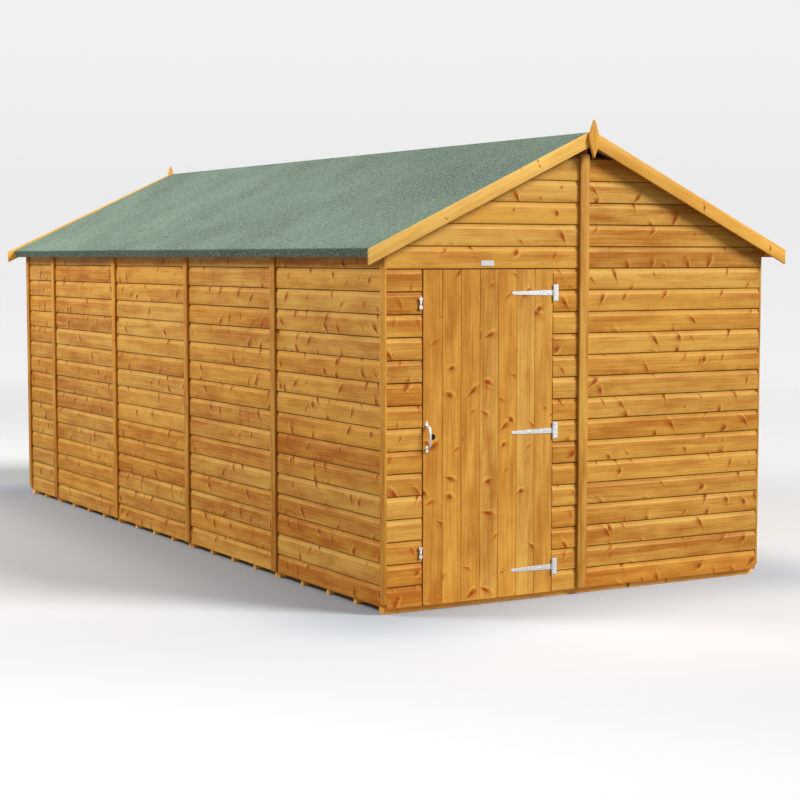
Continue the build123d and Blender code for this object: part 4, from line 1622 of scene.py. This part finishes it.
# ---- Studio ----
@dataclass
class Studio:
    """Camera, floor, lamps and the pale surround."""

    eye: tuple[float, float, float] = (-5.588, -10.463, 1.779)
    yaw: float = 30.016
    pitch: float = 4.510
    lens: float = 81.6
    key_turn: float = 42.0          # from the gable's normal towards the right
    key_rise: float = 36.0
    key_power: float = 3.5
    key_spread: float = 22.0
    fill_place: tuple[float, float, float] = (-8.0, 2.6, 7.0)
    fill_aim: tuple[float, float, float] = (0.0, -0.4, 1.2)
    fill_power: float = 690.0
    fill_width: float = 4.0
    ambient: float = 0.28
    floor_radius: float = 18.0
    floor_tone: float = 0.86        # as it is seen
    floor_bounce: float = 0.27      # as it lights the shed
    foot_bounce: float = 0.62       # and close beside it
    foot_reach: tuple[float, float] = (0.03, 0.22)
    fade: tuple[float, float] = (8.0, 16.5)             # where the floor fades out
    shade_reach: float = 0.85       # how far the soft shade round the shed spreads
    shade_tone: float = 0.70
    cool_reach: float = 1.3         # and how far it is painted cooler, against the warm light bounced from the walls
    cool: float = 0.08
    pool_place: tuple[float, float] = (-5.6, -10.5)     # middle of a painted pool of light, where the floor is palest
    pool_edge: tuple[float, float] = (5.9, 8.9)
    pool_beyond: float = 0.76       # its tone beyond that edge
    far_edge: tuple[float, float] = (11.0, 16.0)
    far_gain: float = 0.11          # paler again, far off
    lift_across: tuple[float, float] = (-4.7, -2.0)     # the side that the fill lamp doesn't reach, where painted light lifts the floor
    lift_ahead: tuple[float, float] = (0.3, 2.4)
    lift_away: tuple[float, float] = (11.0, 15.0)
    lift: tuple[float, float] = (0.40, 0.12)            # how much paler the painted light makes it, near and far

    def camera(self) -> None:
        """Sets the camera."""
        data = bpy.data.cameras.new("Camera")
        data.sensor_width, data.lens, data.clip_end = 36.0, self.lens, 200.0
        camera = placed("Camera", data)
        camera.location = self.eye
        camera.rotation_euler = (math.radians(90 - self.pitch), 0, math.radians(-self.yaw))
        bpy.context.scene.camera = camera

    def lamps(self) -> None:
        """A distant key lamp from the right of the door and a broad lamp high at the back left."""
        turn, rise = math.radians(self.key_turn), math.radians(self.key_rise)
        towards = Vector((math.sin(turn) * math.cos(rise), -math.cos(turn) * math.cos(rise), math.sin(rise)))
        key = bpy.data.lights.new("Key", "SUN")
        key.energy, key.angle = self.key_power, math.radians(self.key_spread)
        fill = bpy.data.lights.new("Fill", "AREA")
        fill.shape, fill.size, fill.energy = "DISK", self.fill_width, self.fill_power
        place = Vector(self.fill_place)
        for data, spot, way in ((key, towards * 10, towards), (fill, place, place - Vector(self.fill_aim))):
            lamp = placed(data.name, data)
            lamp.location = spot
            lamp.rotation_euler = way.to_track_quat("Z", "Y").to_euler()

    def surround(self) -> None:
        """Even light from all round, and a pale backdrop where it is seen."""
        world = bpy.data.worlds.new("Surround")
        bpy.context.scene.world = world
        world.use_nodes = True
        graph = Graph(world.node_tree)
        rise = graph.split(graph.put("TexCoord", {}).outputs["Generated"])[2]
        ramp = graph.put("ValToRGB", {0: graph.calc("MULTIPLY_ADD", rise, 2.0, 0.5, clamp=True)})
        stops = ramp.color_ramp.elements
        for spot, tone in ((0.30, 0.90), (0.49, 0.845), (0.56, 0.83), (0.66, 0.86), (0.80, 0.89)):
            stops.new(spot).color = (tone, tone, tone, 1.0)
        stops.remove(stops[0])
        stops.remove(stops[-1])
        seen = graph.put("Background", {"Color": ramp.outputs["Color"]})
        light = graph.put("Background", {"Color": (1.0, 1.0, 1.0), "Strength": self.ambient})
        rays = graph.put("LightPath", {}).outputs
        look = functools.reduce(functools.partial(graph.calc, "MAXIMUM"),
                                (rays[f"Is {kind} Ray"] for kind in ("Camera", "Glossy", "Transmission")))
        graph.end(graph.blend(look, light.outputs[0], seen.outputs[0]), "World")

    def floor_look(self, graph: Graph, place: Socket, gap: Socket) -> Socket:
        """The floor's tone as it is seen: painted shade round the shed, painted cooler near it against the
        walls' warm bounced light, and a painted pool of light in front of it.

        Args:
            graph: the floor's nodes.
            place: the place on the floor.
            gap: its distance from the shed.

        Returns:
            The colour.
        """
        near = graph.span(gap, 0.0, self.shade_reach, self.shade_tone, 1.0)
        away = graph.vector("LENGTH", graph.vector("SUBTRACT", place, (*self.pool_place, 0.0)))
        pool = graph.plus(graph.span(away, *self.pool_edge, 1.0, self.pool_beyond),
                          graph.span(away, *self.far_edge, 0.0, self.far_gain))
        across = graph.span(graph.vector("DOT_PRODUCT", place, (0.65, 0.76, 0.0)), *self.lift_across)
        ahead = graph.span(graph.vector("DOT_PRODUCT", place, (0.76, -0.65, 0.0)), *self.lift_ahead)
        lift = graph.line(graph.times(across, ahead), graph.span(away, *self.lift_away, *self.lift), 1.0)
        tone = graph.times(graph.times(near, pool), graph.times(lift, self.floor_tone))
        cool = graph.span(gap, 0.0, self.cool_reach, 1.0, 0.0)
        return graph.join(graph.times(tone, graph.line(cool, -self.cool, 1.0)), tone,
                          graph.times(tone, graph.line(cool, self.cool, 1.0)))

    def floor(self) -> None:
        """A wide pale floor that fades into the surround."""
        rim = Seat(Vector(), RIGHT, UP).rings([(self.floor_radius, 0.0)], 96)[0]
        mesh = bpy.data.meshes.new("Studio floor")
        mesh.from_pydata([tuple(point) for point in rim], [], [tuple(range(len(rim)))])
        material = bpy.data.materials.new("Studio paper")
        material.use_nodes = True
        graph = Graph(material.node_tree)
        place = graph.place()
        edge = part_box("floor_joists")[1]
        beyond = graph.vector("SUBTRACT", graph.vector("ABSOLUTE", place), (edge.x, edge.y, 1.0))
        gap = graph.vector("LENGTH", graph.vector("MAXIMUM", beyond, (0.0, 0.0, 0.0)))
        bounce = graph.span(gap, *self.foot_reach, self.foot_bounce, self.floor_bounce)
        look = self.floor_look(graph, place, gap)
        tone = graph.mix(graph.put("LightPath", {}).outputs["Is Camera Ray"], bounce, look)
        paper = graph.put("BsdfDiffuse", {"Color": tone})
        clear = graph.put("BsdfTransparent", {})
        faded = graph.span(graph.vector("LENGTH", place), *self.fade)
        graph.end(graph.blend(faded, paper.outputs[0], clear.outputs[0]))
        mesh.materials.append(material)
        floor = placed("studio_floor", mesh)
        floor.location = (0, 0, -0.0005)

    def build(self) -> None:
        """Sets up the whole studio."""
        bpy.context.scene.view_settings.view_transform = "Standard"
        self.camera()
        self.lamps()
        self.surround()
        self.floor()


def main() -> None:
    """Builds the studio and the shed, and logs the frame's node count and each piece's faces."""
    logging.basicConfig(level=logging.INFO, format="%(name)s %(message)s")
    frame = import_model()
    log.info("frame with %d nodes", len(frame["nodes"]))
    Studio().build()
    layout = Layout()
    for part in (Floor(), Walls(layout, Shiplap(layout)), Roof(layout), Door(), Hinges(layout),
                 TurnButtons(layout), NamePlate()):
        part.build()
    bpy.context.view_layer.update()


if __name__ == "__main__":
    main()
